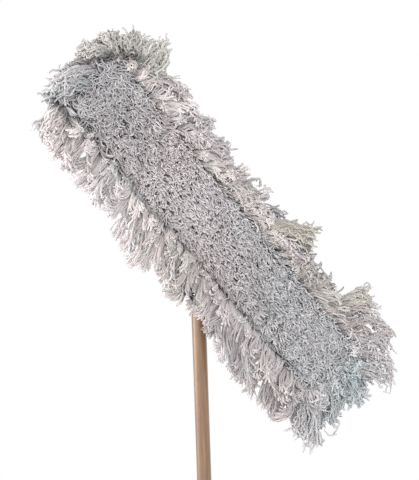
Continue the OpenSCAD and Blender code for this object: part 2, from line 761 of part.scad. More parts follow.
module fringe(edge, fall, curl) {
    n = len(edge) - 1;
    front = 3 * (n + 1);
    locks = 2 * front;
    function place(i, j, level) = let (p = edge[i][0] - edge[i][1] * (band_w * j / 2 + seat_gap))
        [p[0], p[1], level];
    function at(i, j) = 3 * i + j;
    function ring_at(i, j, k) = k == 0 ? [at(i, j), at(i + 1, j), at(i + 1, j + 1), at(i, j + 1)]
        : let (first = locks + ((2 * i + j) * lock_rings + k - 1) * 4) [for (c = [0:3]) first + c];
    polyhedron(
        concat(
            [for (i = [0:n], j = [0:2]) place(i, j, band_n - band_t)],
            [for (i = [0:n], j = [0:2]) place(i, j, band_n)],
            [for (i = [0:n - 1], j = [0:1], k = [1:lock_rings])
                each lock_ring(edge, i, j, k, fall, curl)]
        ),
        concat(
            // sides and tips of the locks
            [for (i = [0:n - 1], j = [0:1], k = [1:lock_rings])
                let (a = ring_at(i, j, k - 1), b = ring_at(i, j, k))
                for (c = [0:3]) let (d = (c + 1) % 4) each [[a[c], b[d], a[d]], [a[c], b[c], b[d]]]],
            [for (i = [0:n - 1], j = [0:1]) let (tip = ring_at(i, j, lock_rings))
                each [[tip[0], tip[2], tip[1]], [tip[0], tip[3], tip[2]]]],
            // back of the band, its edges and its ends
            [for (i = [0:n - 1], j = [0:1]) let (a = front + at(i, j), b = front + at(i + 1, j))
                each [[a, b, b + 1], [a, b + 1, a + 1]]],
            [for (i = [0:n - 1]) let (a = at(i, 0), b = at(i + 1, 0))
                each [[a, b, front + b], [a, front + b, front + a]]],
            [for (i = [0:n - 1]) let (a = at(i, 2), b = at(i + 1, 2))
                each [[b, a, front + a], [b, front + a, front + b]]],
            [for (j = [0:1]) let (a = at(0, j))
                each [[a + 1, a, front + a], [a + 1, front + a, front + a + 1]]],
            [for (j = [0:1]) let (a = at(n, j))
                each [[a, a + 1, front + a + 1], [a, front + a + 1, front + a]]]
        )
    );
}

module fringe_leading() color("whitesmoke") at_cover() fringe(long_edge, pull, 0);

module fringe_trailing() color("whitesmoke") at_cover() rotate([0, 0, 180]) fringe(long_edge, -pull, 0);

module fringe_right_end() color("whitesmoke") at_cover() fringe(end_edge, pull, 0);

module fringe_left_end() color("whitesmoke") at_cover() rotate([0, 0, 180])
    fringe(end_edge, -pull, crown_curl);

wood_handle();
handle_socket();
socket_rivets();
pivot_tongue();
tongue_rivet();
swivel_yoke();
tilt_pin();
tilt_washers();
swivel_washer();
swivel_rivet();
clip_base();
latch_pin();
latch_spring();
latch_lever();
centre_saddle();
frame_wire();
canvas_backing();
pocket_left();
pocket_right();
mouth_tapes();
edge_binding();
yarn_pile();
fringe_leading();
fringe_trailing();
fringe_left_end();
fringe_right_end();
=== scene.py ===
"""Looks of the dust mop: cut cotton yarn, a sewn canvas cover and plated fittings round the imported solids."""

import json
import math

import bmesh
import bpy
import numpy as np
from mathutils import Matrix, Vector


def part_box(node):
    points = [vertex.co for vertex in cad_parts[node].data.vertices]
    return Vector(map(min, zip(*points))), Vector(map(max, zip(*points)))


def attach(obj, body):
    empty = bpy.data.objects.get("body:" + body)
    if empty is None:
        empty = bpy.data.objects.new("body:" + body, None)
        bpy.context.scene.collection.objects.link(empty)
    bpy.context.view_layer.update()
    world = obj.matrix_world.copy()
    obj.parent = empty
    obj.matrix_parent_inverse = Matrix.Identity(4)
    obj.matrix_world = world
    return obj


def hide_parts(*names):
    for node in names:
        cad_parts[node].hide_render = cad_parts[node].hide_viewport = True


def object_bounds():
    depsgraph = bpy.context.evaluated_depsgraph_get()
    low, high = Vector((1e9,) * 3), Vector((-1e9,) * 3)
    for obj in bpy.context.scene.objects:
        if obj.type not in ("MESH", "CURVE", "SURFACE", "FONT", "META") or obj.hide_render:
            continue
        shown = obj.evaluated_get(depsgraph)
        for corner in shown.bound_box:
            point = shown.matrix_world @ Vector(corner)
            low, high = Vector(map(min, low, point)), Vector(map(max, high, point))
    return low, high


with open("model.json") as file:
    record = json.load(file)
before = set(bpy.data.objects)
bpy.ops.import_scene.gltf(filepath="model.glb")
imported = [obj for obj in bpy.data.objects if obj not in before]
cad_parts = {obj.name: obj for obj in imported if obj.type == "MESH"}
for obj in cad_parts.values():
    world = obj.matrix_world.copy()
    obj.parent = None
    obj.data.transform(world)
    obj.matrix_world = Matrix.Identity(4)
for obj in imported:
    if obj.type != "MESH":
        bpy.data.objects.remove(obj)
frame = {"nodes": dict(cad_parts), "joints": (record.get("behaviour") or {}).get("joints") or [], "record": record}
cad_low, cad_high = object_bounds()

# The head's own directions: u along it, v across it and n out of its back, from the middle of the wire frame
MM = 0.001
HEAD_ANGLE = math.radians(50)
TILT = next(j for j in frame["joints"] if j["name"] == "head_tilt")
MIDDLE = np.array([0.0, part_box("canvas_backing")[1].y, TILT["pos_m"][2]])
U = np.array([math.cos(HEAD_ANGLE), 0.0, -math.sin(HEAD_ANGLE)])
V = np.array([-math.sin(HEAD_ANGLE), 0.0, -math.cos(HEAD_ANGLE)])
N = np.array([0.0, 1.0, 0.0])
# Downwards, in those directions
DOWN = np.array([math.sin(HEAD_ANGLE), math.cos(HEAD_ANGLE), 0.0])

# Cover sizes of the solids, in millimetres: its middle hangs below the frame's by half of its slack
COVER_MID, COVER_U, COVER_V, COVER_R = 16.0, 329.0, 67.0, 45.0
FACE_INSET = 14.0
MOUTH_U = 72.0
BAND_W, BAND_LEVEL = 12.5, -4.0


def place(local):
    """Points given along, across and out of the head in millimetres, as row points in metres."""
    p = np.asarray(local, float) * MM
    return MIDDLE + p[..., 0:1] * U + p[..., 1:2] * V + p[..., 2:3] * N


# Finishes

# Settings of a Mix node that shades one colour, its input 6, by another, its input 7
SHADED = {"data_type": "RGBA", "blend_type": "MULTIPLY"}


def linear(hex_colour):
    """An sRGB colour such as "d9d2c8" as linear light with alpha."""
    parts = [int(hex_colour[k : k + 2], 16) / 255 for k in (0, 2, 4)]
    return (*(c / 12.92 if c <= 0.04045 else ((c + 0.055) / 1.055) ** 2.4 for c in parts), 1.0)


def plug(made, inputs):
    """Fills a node's inputs: values as they are, sockets and other nodes by a link."""
    for key, value in inputs.items():
        if isinstance(value, bpy.types.Node):
            # a Mix node gives its mixed colour third
            value = value.outputs[2 if value.bl_idname == "ShaderNodeMix" else 0]
        if isinstance(value, bpy.types.NodeSocket):
            made.id_data.links.new(value, made.inputs[key])
        else:
            made.inputs[key].default_value = value


def node(tree, kind, inputs=None, stops=(), **settings):
    """Adds one node with its settings, its inputs and its ramp's stops."""
    made = tree.nodes.new("ShaderNode" + kind)
    for key, value in settings.items():
        setattr(made, key, value)
    plug(made, inputs or {})
    for k, (at, colour) in enumerate(stops):
        ramp = made.color_ramp.elements
        stop = ramp[k] if k < len(ramp) else ramp.new(at)
        stop.position = at
        stop.color = linear(colour) if isinstance(colour, str) else (colour, colour, colour, 1.0)
    return made


def finish(name, inputs):
    """A new material, its tree and its surface shader with constant values on the shader's own sockets."""
    material = bpy.data.materials.new(name)
    material.use_nodes = True
    tree = material.node_tree
    surface = tree.nodes["Principled BSDF"]
    plug(surface, inputs)
    return material, tree, surface


def cut_cotton_yarn():
    """Loosely twisted cotton, soiled by use: matt, soft at grazing angles and paler at its cut ends, as its roots
    are darkened by soil and by painted shade.

    Its attribute "tone" holds a strand's shade, nearness to its tip, warmth and length in decimetres."""
    feel = {"Roughness": 0.95, "Sheen Weight": 0.45, "Sheen Roughness": 0.5, "Specular IOR Level": 0.1}
    material, tree, surface = finish("cut_cotton_yarn", feel)
    tone = node(tree, "Attribute", attribute_name="tone")
    shade, tipward, warmth = node(tree, "SeparateColor", {0: tone.outputs["Color"]}).outputs
    body = node(tree, "ValToRGB", {0: shade}, [(0.0, "b9b8b8"), (0.5, "d8d6d7"), (1.0, "f0efee")])
    tints = [(0.0, "e4f0f1"), (0.42, "f8f6f8"), (0.62, "fbf2f3"), (0.76, "f7f5ee"), (1.0, "f1eee0")]
    tint = node(tree, "ValToRGB", {0: warmth}, tints)
    dyed = node(tree, "Mix", {0: 1.0, 6: body, 7: tint}, **SHADED)
    # darker towards the roots by soil and painted shade, in cool grey and warm brown mixed by the strand's warmth
    cool_dark_stops = [(0.0, "2c353b"), (0.05, "7c8a90"), (0.4, "e2e6e8"), (1.0, "ffffff")]
    cool_darks = node(tree, "ValToRGB", {0: tipward}, cool_dark_stops)
    warm_dark_stops = [(0.0, "302d2b"), (0.05, "8e8379"), (0.4, "eae6e1"), (1.0, "ffffff")]
    warm_darks = node(tree, "ValToRGB", {0: tipward}, warm_dark_stops)
    brown_share = node(tree, "ValToRGB", {0: warmth}, [(0.0, 0.0), (0.66, 0.66), (0.76, 0.3), (1.0, 0.7)])
    soil = node(tree, "Mix", {0: brown_share, 6: cool_darks, 7: warm_darks}, data_type="RGBA")
    # soil and painted shade of the roots, over the dyed colour
    soiled = node(tree, "Mix", {0: 1.0, 6: dyed, 7: soil}, **SHADED)
    # three plies, which turn once in 21 mm, so that one of them passes in every 7 mm
    lay = node(tree, "SeparateXYZ", {0: node(tree, "UVMap", uv_map="UVMap")})
    passes = node(tree, "Math", {0: tone.outputs["Alpha"], 1: 14.0}, operation="MULTIPLY")
    run = node(tree, "Math", {0: lay.outputs[0], 1: passes}, operation="MULTIPLY")
    twist = node(tree, "Math", {0: lay.outputs[1], 1: 3.0, 2: run}, operation="MULTIPLY_ADD")
    angle = node(tree, "Math", {0: twist, 1: math.tau}, operation="MULTIPLY")
    ply = node(tree, "Math", {0: angle}, operation="SINE")
    height = node(tree, "Math", {0: ply, 1: 0.5, 2: 0.5}, operation="MULTIPLY_ADD")
    # painted shade in the grooves between the plies
    groove = node(tree, "ValToRGB", {0: height}, [(0.0, 0.72), (0.45, 1.0)])
    laid = node(tree, "Mix", {0: 0.6, 6: soiled, 7: groove}, **SHADED)
    bump = node(tree, "Bump", {"Height": ply, "Strength": 0.5, "Distance": 0.3 * MM})
    plug(surface, {"Base Color": laid, "Normal": bump})
    return material


def woven_cotton(name, pale, soiled, thread, twill):
    """Woven cotton: thread-by-thread relief, slubs and soil in soft clouds. The threads lie along the head.

    Its threads of about 0.7 mm are too fine to show, so they are drawn at the given width in metres."""
    feel = {"Roughness": 0.92, "Sheen Weight": 0.2, "Sheen Roughness": 0.5, "Specular IOR Level": 0.15}
    material, tree, surface = finish(name, feel)
    at = node(tree, "TexCoord").outputs["Object"]
    turned = node(tree, "Mapping", {"Vector": at, "Rotation": (0, -HEAD_ANGLE, 0)})
    along, height, across = node(tree, "SeparateXYZ", {0: turned}).outputs
    # both ways also run with the height, so that the threads go on up the walls
    ways = [node(tree, "Math", {0: way, 1: height}, operation="ADD") for way in (along, across)]
    warp, weft = (node(tree, "Math", {0: way, 1: math.pi / thread}, operation="MULTIPLY") for way in ways)
    if twill:
        slope = node(tree, "Math", {0: warp, 1: weft}, operation="ADD")
        threads = node(tree, "Math", {0: slope}, operation="SINE")
    else:
        warp, weft = (node(tree, "Math", {0: way}, operation="SINE") for way in (warp, weft))
        threads = node(tree, "Math", {0: warp, 1: weft}, operation="MULTIPLY")
    # clouds of soil some 60 mm across, and slubs 14 mm long
    cloud = node(tree, "TexNoise", {"Vector": at, "Scale": 16.0, "Detail": 5.0, "Roughness": 0.6})
    base = node(tree, "ValToRGB", {0: cloud}, [(0.34, soiled), (0.62, pale)])
    slubs = node(tree, "Mapping", {"Vector": turned, "Scale": (1.0, 1.0, 12.0)})
    slub = node(tree, "TexNoise", {"Vector": slubs, "Scale": 70.0, "Detail": 2.0})
    shade = node(tree, "ValToRGB", {0: slub}, [(0.36, 0.86), (0.6, 1.0)])
    dyed = node(tree, "Mix", {0: 0.8, 6: base, 7: shade}, **SHADED)
    # painted shade in the gaps between the threads
    lift = node(tree, "Math", {0: threads, 1: 0.5, 2: 0.5}, operation="MULTIPLY_ADD")
    gaps = node(tree, "ValToRGB", {0: lift}, [(0.1, 0.74), (0.6, 1.0)])
    woven = node(tree, "Mix", {0: 0.8, 6: dyed, 7: gaps}, **SHADED)
    bump = node(tree, "Bump", {"Height": threads, "Strength": 0.6, "Distance": 0.35 * MM})
    plug(surface, {"Base Color": woven, "Normal": bump})
    return material


def plated_steel(name, pale, dull, rough):
    """Pressed steel with a thin bright plating: cloudy reflections, rolling marks and a few dull patches."""
    material, tree, surface = finish(name, {"Metallic": 1.0})
    at = node(tree, "TexCoord").outputs["Object"]
    # dull patches some 18 mm across
    cloud = node(tree, "TexNoise", {"Vector": at, "Scale": 55.0, "Detail": 5.0, "Roughness": 0.62})
    base = node(tree, "ValToRGB", {0: cloud}, [(0.3, dull), (0.55, pale)])
    # crystals of the plating, about 3 mm across
    grain = node(tree, "TexVoronoi", {"Vector": at, "Scale": 330.0})
    flake = node(tree, "ValToRGB", {0: grain.outputs["Color"]}, [(0.0, 0.86), (1.0, 1.0)])
    plated = node(tree, "Mix", {0: 0.7, 6: base, 7: flake}, **SHADED)
    # rolling marks 1 mm wide and 20 mm long
    drawn = node(tree, "Mapping", {"Vector": at, "Scale": (1.0, 1.0, 0.05)})
    marks = node(tree, "TexNoise", {"Vector": drawn, "Scale": 900.0, "Detail": 3.0})
    gloss = node(tree, "ValToRGB", {0: marks}, [(0.3, rough - 0.1), (0.7, rough + 0.14)])
    bump = node(tree, "Bump", {"Height": marks, "Strength": 0.15, "Distance": 0.1 * MM})
    plug(surface, {"Base Color": plated, "Roughness": gloss, "Normal": bump})
    return material


def lacquered_hardwood():
    """Turned hardwood under clear lacquer, worn by hands: long grain streaks, pores and a soft shine."""
    lacquer = {"Coat Weight": 1.0, "Coat Roughness": 0.36, "Coat IOR": 1.65}
    material, tree, surface = finish("lacquered_hardwood", lacquer)
    at = node(tree, "TexCoord").outputs["Object"]
    # grain streaks up to 6 mm wide and some 200 mm long
    streak = node(tree, "Mapping", {"Vector": at, "Scale": (1.0, 1.0, 0.03)})
    figure = node(tree, "TexNoise", {"Vector": streak, "Scale": 170.0, "Detail": 5.0, "Roughness": 0.6})
    base = node(tree, "ValToRGB", {0: figure}, [(0.3, "66472b"), (0.5, "7e5b39"), (0.7, "967049")])
    # stains some 70 mm wide and 350 mm long, and pores 1 mm wide and 28 mm long
    long_cloud = node(tree, "Mapping", {"Vector": at, "Scale": (1.0, 1.0, 0.2)})
    cloud = node(tree, "TexNoise", {"Vector": long_cloud, "Scale": 14.0, "Detail": 4.0})
    stain = node(tree, "ValToRGB", {0: cloud}, [(0.36, 0.8), (0.62, 1.0)])
    stained = node(tree, "Mix", {0: 0.8, 6: base, 7: stain}, **SHADED)
    pore_way = node(tree, "Mapping", {"Vector": at, "Scale": (1.0, 1.0, 0.04)})
    pores = node(tree, "TexNoise", {"Vector": pore_way, "Scale": 900.0, "Detail": 2.0})
    dots = node(tree, "ValToRGB", {0: pores}, [(0.34, 0.62), (0.46, 1.0)])
    pored = node(tree, "Mix", {0: 0.7, 6: stained, 7: dots}, **SHADED)
    gloss = node(tree, "ValToRGB", {0: cloud}, [(0.3, 0.56), (0.7, 0.4)])
    bump = node(tree, "Bump", {"Height": dots, "Strength": 0.2, "Distance": 0.2 * MM})
    plug(surface, {"Base Color": pored, "Roughness": gloss, "Normal": bump})
    return material


YARN = cut_cotton_yarn()
CANVAS = woven_cotton("unbleached_cotton_canvas", "d9d3c6", "bcb4a4", 2.2 * MM, False)
TAPE = woven_cotton("cotton_twill_tape", "cfc8b9", "aaa292", 1.8 * MM, True)
ZINC = plated_steel("zinc_plated_steel", "b4b8ba", "82878a", 0.34)
SPRING = plated_steel("oiled_spring_steel", "62666a", "3a3e41", 0.42)
WOOD = lacquered_hardwood()

# The fittings and the pole keep their solids and get their finish
for row in frame["record"]["subparts"]:
    solid = frame["nodes"][row["node"]]
    solid.data.materials.clear()
    own_finish = {"lacquered_wood": WOOD, "spring_steel": SPRING}.get(row["material_slot"], ZINC)
    solid.data.materials.append(own_finish)


def add_object(name, data):
    """An object of the scene, at the origin."""
    made = bpy.data.objects.new(name, data)
    bpy.context.scene.collection.objects.link(made)
    return made


def add_piece(name, mesh, material, nodes):
    """A finished piece of the head, which stands for the given solids."""
    mesh.materials.clear()
    mesh.materials.append(material)
    mesh.polygons.foreach_set("use_smooth", np.ones(len(mesh.polygons), bool))
    piece = add_object(name, mesh)
    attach(piece, "head")
    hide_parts(*nodes)
    return piece


# Camera and light


def aim_camera():
    """At the photograph's angle, with the pole's scale and the head's place in its 419 by 480 pixels."""
    azimuth, elevation, roll = math.radians(-22), math.radians(2), math.radians(-1.9)
    level = math.cos(elevation)
    back = Vector((math.sin(azimuth) * level, -math.cos(azimuth) * level, math.sin(elevation)))
    turn = (-back).to_track_quat("-Z", "Y").to_matrix() @ Matrix.Rotation(roll, 3, "Z")
    to_pole, to_head = 1.45, 1.38
    pixel, picture_height = 1.644 * MM, 480
    data = bpy.data.cameras.new("camera")
    data.sensor_fit = "VERTICAL"
    data.sensor_height = 36.0
    data.lens = data.sensor_height * to_pole / (picture_height * pixel)
    data.clip_end = 50.0
    camera = add_object("camera", data)
    # the point of the face over the swivel lies 3 pixels right of the middle and 17 above it
    aside = turn @ Vector((-3.0, -17.0, 0.0)) * pixel * to_head / to_pole
    camera.location = Vector(place([0.0, 0.0, -24.0])) + aside + back * to_head
    camera.rotation_euler = turn.to_euler()
    bpy.context.scene.camera = camera


def add_lamp(name, location, watts, size, colour):
    """A round soft lamp that shines on the middle of the head."""
    data = bpy.data.lights.new(name, "AREA")
    data.shape = "DISK"
    data.energy, data.size, data.color = watts, size, linear(colour)[:3]
    lamp = add_object(name, data)
    lamp.location = location
    lamp.rotation_euler = (Vector(MIDDLE) - Vector(location)).to_track_quat("-Z", "Y").to_euler()


def white_to_the_eye(tree, lit, output):
    """White for camera, glossy and transmission rays, and the lit shader for all others."""
    path = node(tree, "LightPath").outputs
    seen = node(tree, "Math", {0: path["Is Camera Ray"], 1: path["Is Glossy Ray"]}, operation="MAXIMUM")
    seen = node(tree, "Math", {0: seen, 1: path["Is Transmission Ray"]}, operation="MAXIMUM")
    white = node(tree, "Emission", {"Color": (1.0, 1.0, 1.0, 1.0), "Strength": 1.0})
    plug(output, {"Surface": node(tree, "MixShader", {0: seen, 1: lit, 2: white})})


def set_stage():
    """A white studio with a paper floor at the pole's butt, and five soft lamps."""
    scene = bpy.context.scene
    scene.view_settings.view_transform = "Standard"
    scene.world = bpy.data.worlds.new("studio")
    scene.world.use_nodes = True
    tree = scene.world.node_tree
    plug(tree.nodes["Background"], {"Color": linear("f3f4f6"), "Strength": 0.65})
    white_to_the_eye(tree, tree.nodes["Background"], tree.nodes["World Output"])
    paper, tree, surface = finish("matt_studio_paper", {"Roughness": 0.9, "Base Color": linear("f2f2f2")})
    white_to_the_eye(tree, surface, tree.nodes["Material Output"])
    bm = bmesh.new()
    bmesh.ops.create_grid(bm, x_segments=1, y_segments=1, size=8.0)
    bmesh.ops.translate(bm, verts=bm.verts, vec=(0.0, 0.0, cad_low[2]))
    mesh = bpy.data.meshes.new("floor")
    bm.to_mesh(mesh)
    bm.free()
    mesh.materials.append(paper)
    floor = add_object("floor", mesh)
    add_lamp("key", (-2.5, -0.6, 2.1), 40, 1.0, "fffaf6")
    add_lamp("side", (-2.9, 0.8, 1.3), 34, 1.5, "fff6f4")
    add_lamp("front", (-0.6, -2.8, 2.3), 38, 1.8, "fffdfc")
    add_lamp("fill", (2.3, -1.6, 1.6), 9, 2.0, "f6f8ff")
    add_lamp("back", (0.7, 2.4, 2.3), 34, 1.6, "ffffff")


aim_camera()
set_stage()

# Yarn, in millimetres of the head

# Radii of the strands, of a ply at an open tip and of the sewing thread
FRINGE_YARN_R, FACE_YARN_R, LOOSE_YARN_R, OPEN_PLY_R, THREAD_R = 1.5, 1.2, 1.1, 0.65, 0.42
# Levels in front of the head that the strands stay behind
FRINGE_FRONT, STRAY_FRONT, OPEN_PLY_FRONT, FACE_FRONT, LOOSE_FRONT = -37.0, -36.0, -37.5, -29.0, -33.0
# Levels of the roots of the face's yarn and of the loose yarn in it
FACE_ROOT, LOOSE_ROOT = -4.5, -12.0
# Sides of a strand's section, which smooth shading makes round
YARN_SIDES = 4

# Lines where the yarn parts, darkened there with painted shade: places on the head, width and strength. The last
# one paints the shade in the gap of the fringe beside the pole.
SHADED_PARTINGS = [
    ([(-192, 60), (-83, 64), (-40, 58), (55, 56), (107, 55), (220, 56), (295, 48)], 4.4, 0.7),
    ([(-60, -50), (0, -53), (126, -64), (187, -65), (295, -72)], 4.2, 0.6),
    ([(-298, -36), (-284, -58), (-264, -78)], 9.0, 0.8),
    ([(-300, 60), (-280, 64), (-260, 68)], 9.0, 0.8),
    ([(53, 96), (65, 114)], 4.2, 1.5),
]


def parting_shade(paths):
    """How much of its paleness the yarn keeps at each point under the painted shade along the partings."""
    kept = np.ones(paths.shape[:2])
    for line, width, strength in SHADED_PARTINGS:
        line = np.array(line, float)
        near = np.full(paths.shape[:2], np.inf)
        for a, b in zip(line[:-1], line[1:]):
            share = np.clip(((paths[..., :2] - a) @ (b - a)) / ((b - a) @ (b - a)), 0, 1)
            near = np.minimum(near, np.linalg.norm(paths[..., :2] - a - share[..., None] * (b - a), axis=2))
        kept = kept * np.clip(1 - strength * np.exp(-((near / width) ** 2)), 0, 1)
    return kept


def spin_yarn(name, paths, radii, tones, nodes=()):
    """One piece of many strands: paths are strands by points by 3, radii strands by points, and tones strands
    by points by 3, the shade of the strand, nearness to its tip and warmth."""
    count, points = paths.shape[:2]
    section = bpy.data.curves.new(name + "_section", "CURVE")
    round_of = section.splines.new("POLY")
    round_of.points.add(YARN_SIDES - 1)
    round_of.use_cyclic_u = True
    for k, point in enumerate(round_of.points):
        angle = -k / YARN_SIDES * math.tau
        point.co = (math.cos(angle), math.sin(angle), 0.0, 1.0)
    strands = bpy.data.curves.new(name + "_strands", "CURVE")
    strands.dimensions = "3D"
    strands.bevel_mode = "OBJECT"
    strands.use_fill_caps = True
    at = np.ones((count, points, 4), np.float32)
    at[..., :3] = place(paths)
    thick = (radii * MM).astype(np.float32)
    for k in range(count):
        strand = strands.splines.new("POLY")
        strand.points.add(points - 1)
        strand.points.foreach_set("co", at[k].ravel())
        strand.points.foreach_set("radius", thick[k])
    made = [add_object(data.name, data) for data in (section, strands)]
    strands.bevel_object = made[0]
    seen = bpy.context.evaluated_depsgraph_get()
    mesh = bpy.data.meshes.new_from_object(made[1].evaluated_get(seen), depsgraph=seen)
    mesh.name = name
    for obj in made:
        bpy.data.objects.remove(obj)
    tone = np.empty((count, points, 4), np.float32)
    tone[..., :3] = tones
    # painted shade along the partings
    tone[..., 1] *= parting_shade(paths)
    tone[..., 3] = (np.linalg.norm(np.diff(paths, axis=1), axis=2).sum(1) / 100)[:, None]
    # the mesh starts with the cut ends' caps, from the last strand to the first, the tip's before the root's
    rings = np.concatenate([tone[::-1, [-1, 0]].reshape(-1, 4), tone.reshape(-1, 4)]).repeat(YARN_SIDES, 0)
    mesh.color_attributes.new("tone", "FLOAT_COLOR", "POINT").data.foreach_set("color", rings.ravel())
    bm = bmesh.new()
    bm.from_mesh(mesh)
    bmesh.ops.remove_doubles(bm, verts=bm.verts, dist=0.0001 * MM)
    bm.to_mesh(mesh)
    bm.free()
    return add_piece(name, mesh, YARN, nodes)


def waves(x, y, seed):
    """Slow uneven waves over two coordinates, from about -1 to 1."""
    rng = np.random.default_rng(seed)
    total = 0.0
    for _ in range(6):
        way, rate, start = rng.uniform(0, math.tau), rng.uniform(0.6, 1.9), rng.uniform(0, math.tau)
        total = total + np.sin((x * math.cos(way) + y * math.sin(way)) * rate + start)
    return total / 3.2


SIDE_RUN, END_RUN, CORNER_RUN = 2 * (COVER_U - COVER_R), 2 * (COVER_V - COVER_R), math.pi / 2 * COVER_R
ROUND_END = END_RUN + 2 * CORNER_RUN
EDGE_RUN = 2 * (SIDE_RUN + ROUND_END)


def edge(s):
    """Places on the cover's edge and their outward directions, by the run from the lower side's start."""
    s = np.asarray(s, float) % EDGE_RUN
    turned = np.where(s >= EDGE_RUN / 2, -1.0, 1.0)[..., None]
    s = s % (EDGE_RUN / 2)
    first = np.clip((s - SIDE_RUN) / CORNER_RUN, 0, 1)
    second = np.clip((s - SIDE_RUN - CORNER_RUN - END_RUN) / CORNER_RUN, 0, 1)
    angle = math.pi / 2 * (1 - first - second)
    out = np.stack([np.cos(angle), np.sin(angle)], -1)
    u = np.minimum(s, SIDE_RUN) - (COVER_U - COVER_R)
    v = (COVER_V - COVER_R) - np.clip(s - SIDE_RUN - CORNER_RUN, 0, END_RUN)
    at = np.stack([u, v], -1) + COVER_R * out
    return at * turned + [COVER_MID, 0.0], out * turned


def shares(points, end):
    """Each point's share of its strand's length. The last step is short, so that the cut end is blunt."""
    return np.concatenate([np.linspace(0, 1, points - 1), [end]]) / end


RUN = shares(15, 1.012)
FACE_RUN = shares(6, 1.03)
# The same for the middles of the steps
RUN_MIDS = (RUN[1:] + RUN[:-1])[None] / 2
FACE_MIDS = (FACE_RUN[1:] + FACE_RUN[:-1])[None, :, None] / 2


def span(steps):
    """The lengths of steps, which they can be divided by."""
    return np.linalg.norm(steps, axis=-1, keepdims=True)


def follow(root, steps):
    """Strands that take their steps one after another from their roots."""
    return root + np.concatenate([np.zeros_like(root), steps.cumsum(1)], 1)


def grow(root, way, long, run):
    """Strands of given lengths from their roots, with a direction for each step."""
    return follow(root[:, None], way * (np.diff(run)[None] * long[:, None])[..., None])


def droop(paths, limp, pull):
    """Strands held at their roots that bend under their weight: a joint turns by the moment of its load."""
    rounds, most_turn = 24, 2.2
    root = paths[:, :1]
    rest = np.diff(paths, axis=1)
    length = span(rest)
    carried = length[:, ::-1].cumsum(1)[:, ::-1]
    run = rest.copy()
    for _ in range(rounds):
        at = follow(root, run)
        weight = ((at[:, :-1] + run / 2) * length)[:, ::-1].cumsum(1)[:, ::-1]
        moment = np.cross(weight - at[:, :-1] * carried, pull[:, None])
        turn = (limp[:, None, None] * moment * length).cumsum(1)
        size = span(turn) + 1e-9
        axis = turn / size
        size = most_turn * np.tanh(size / most_turn)
        turned = rest * np.cos(size) + np.cross(axis, rest) * np.sin(size)
        turned = turned + axis * (axis * rest).sum(2, keepdims=True) * (1 - np.cos(size))
        # part of the way in each round, so that it settles
        run = run * 0.6 + turned * 0.4
        run = run * length / span(run)
    return follow(root, run)


def strand_thickness(rng, count, points, radius):
    """Yarn of about that radius, thinner at its worn cut end, where it closes."""
    shape = np.ones(points)
    shape[-3:] = 1.0, 0.9, 0.12
    return radius * rng.uniform(0.86, 1.14, (count, 1)) * shape[None]


def toned(shade, tipward, warmth):
    """The tones of strands, by strands, points and 3."""
    return np.clip(np.stack(np.broadcast_arrays(shade, tipward, warmth), -1), 0, 1)


def curled(steps, turn, power):
    """Steps along strands, turned about each strand's own axis by an angle that grows towards its tip."""
    angle = span(turn)
    axle = (turn / angle)[:, None]
    angle = (angle * RUN_MIDS**power)[..., None]
    kept = axle * (axle * steps).sum(2, keepdims=True)
    return kept + (steps - kept) * np.cos(angle) + np.cross(axle, steps) * np.sin(angle)


def crimped(rng, paths, radius):
    """Strands wound into loose curls round their own lines: radius is strands by points."""
    count = len(paths)
    long = np.linalg.norm(np.diff(paths, axis=1), axis=2).sum(1, keepdims=True)
    # a turn in some 17 mm, as far as the points can follow it
    start = rng.uniform(0, math.tau, (count, 1))
    turn = start + np.clip(math.tau * long / rng.uniform(13, 21, (count, 1)), 8, 24) * RUN
    ways = rng.normal(0, 0.7, (2, count, 1, 3))
    return paths + radius[..., None] * (ways[0] * np.cos(turn)[..., None] + ways[1] * np.sin(turn)[..., None])


def open_tips(rng, paths, tones):
    """The worn ends of strands, where the twist is undone: a fine ply that goes its own way at each tip."""
    start = 10
    way = paths[:, -1] - paths[:, -3]
    way /= span(way)
    ends = paths[:, start:-1]
    share = np.linspace(0, 1, ends.shape[1])[None, :, None]
    aside = rng.normal(0, 1.7, (len(ends), 1, 3)) * share
    ends = ends + aside + way[:, None] * rng.uniform(-4.0, 2.0, (len(ends), 1, 1)) * share**2
    ends[..., 2] = np.maximum(ends[..., 2], OPEN_PLY_FRONT)
    last = ends[:, -1:] + 0.02 * (ends[:, -1:] - ends[:, -2:-1])
    return np.concatenate([ends, last], 1), tones[:, start:]


# Share of the usual length that the locks have at places along the lower and the upper side
LOWER_AT = [-313, -250, -195, -160, -110, -75, -35, 30, 60, 85, 105, 135, 160, 210, 265, 300, 345]
LOWER_REACH = [0.87, 0.9, 0.86, 0.8, 0.92, 1.26, 0.84, 0.9, 0.8, 0.72, 0.8, 1.1, 1.14, 1.04, 1.3, 1.06, 1.1]
UPPER_AT = [-313, -230, -195, -140, -75, -35, 5, 60, 120, 165, 216, 262, 295, 345]
UPPER_REACH = [0.74, 0.94, 0.72, 0.74, 0.84, 0.62, 0.76, 0.82, 0.98, 1.0, 1.02, 1.24, 1.06, 1.2]


def reach(at, out):
    """That share for locks anywhere round the edge, as the photograph's outline shows it."""
    lower, upper = np.interp(at[:, 0], LOWER_AT, LOWER_REACH), np.interp(at[:, 0], UPPER_AT, UPPER_REACH)
    return upper + (lower - upper) * (0.5 + 0.5 * out[:, 1])


def keep_in(paths):
    """Draws in the tips of the lower right corner, so that they stay in the room that the solids leave."""
    limit, room = 310.0, 24.0
    sideways = np.array([U[0], V[0], 0.0])
    past = np.maximum(0, paths @ sideways - limit)
    return paths - (past - room * np.tanh(past / room))[..., None] * sideways


def spin_locks(rng, name, locks, nodes):
    """A piece of the fringe from the paths and tones of its locks, and another one of its open tips."""
    paths, tones = (np.concatenate(parts) for parts in zip(*locks))
    ends, shades = open_tips(rng, paths, tones)
    ply_radii = strand_thickness(rng, *ends.shape[:2], OPEN_PLY_R)
    tips = spin_yarn(name.replace("_yarn", "_tips"), keep_in(ends), ply_radii, shades)
    radii = strand_thickness(rng, *paths.shape[:2], FRINGE_YARN_R)
    return spin_yarn(name, paths, radii, tones, nodes), tips


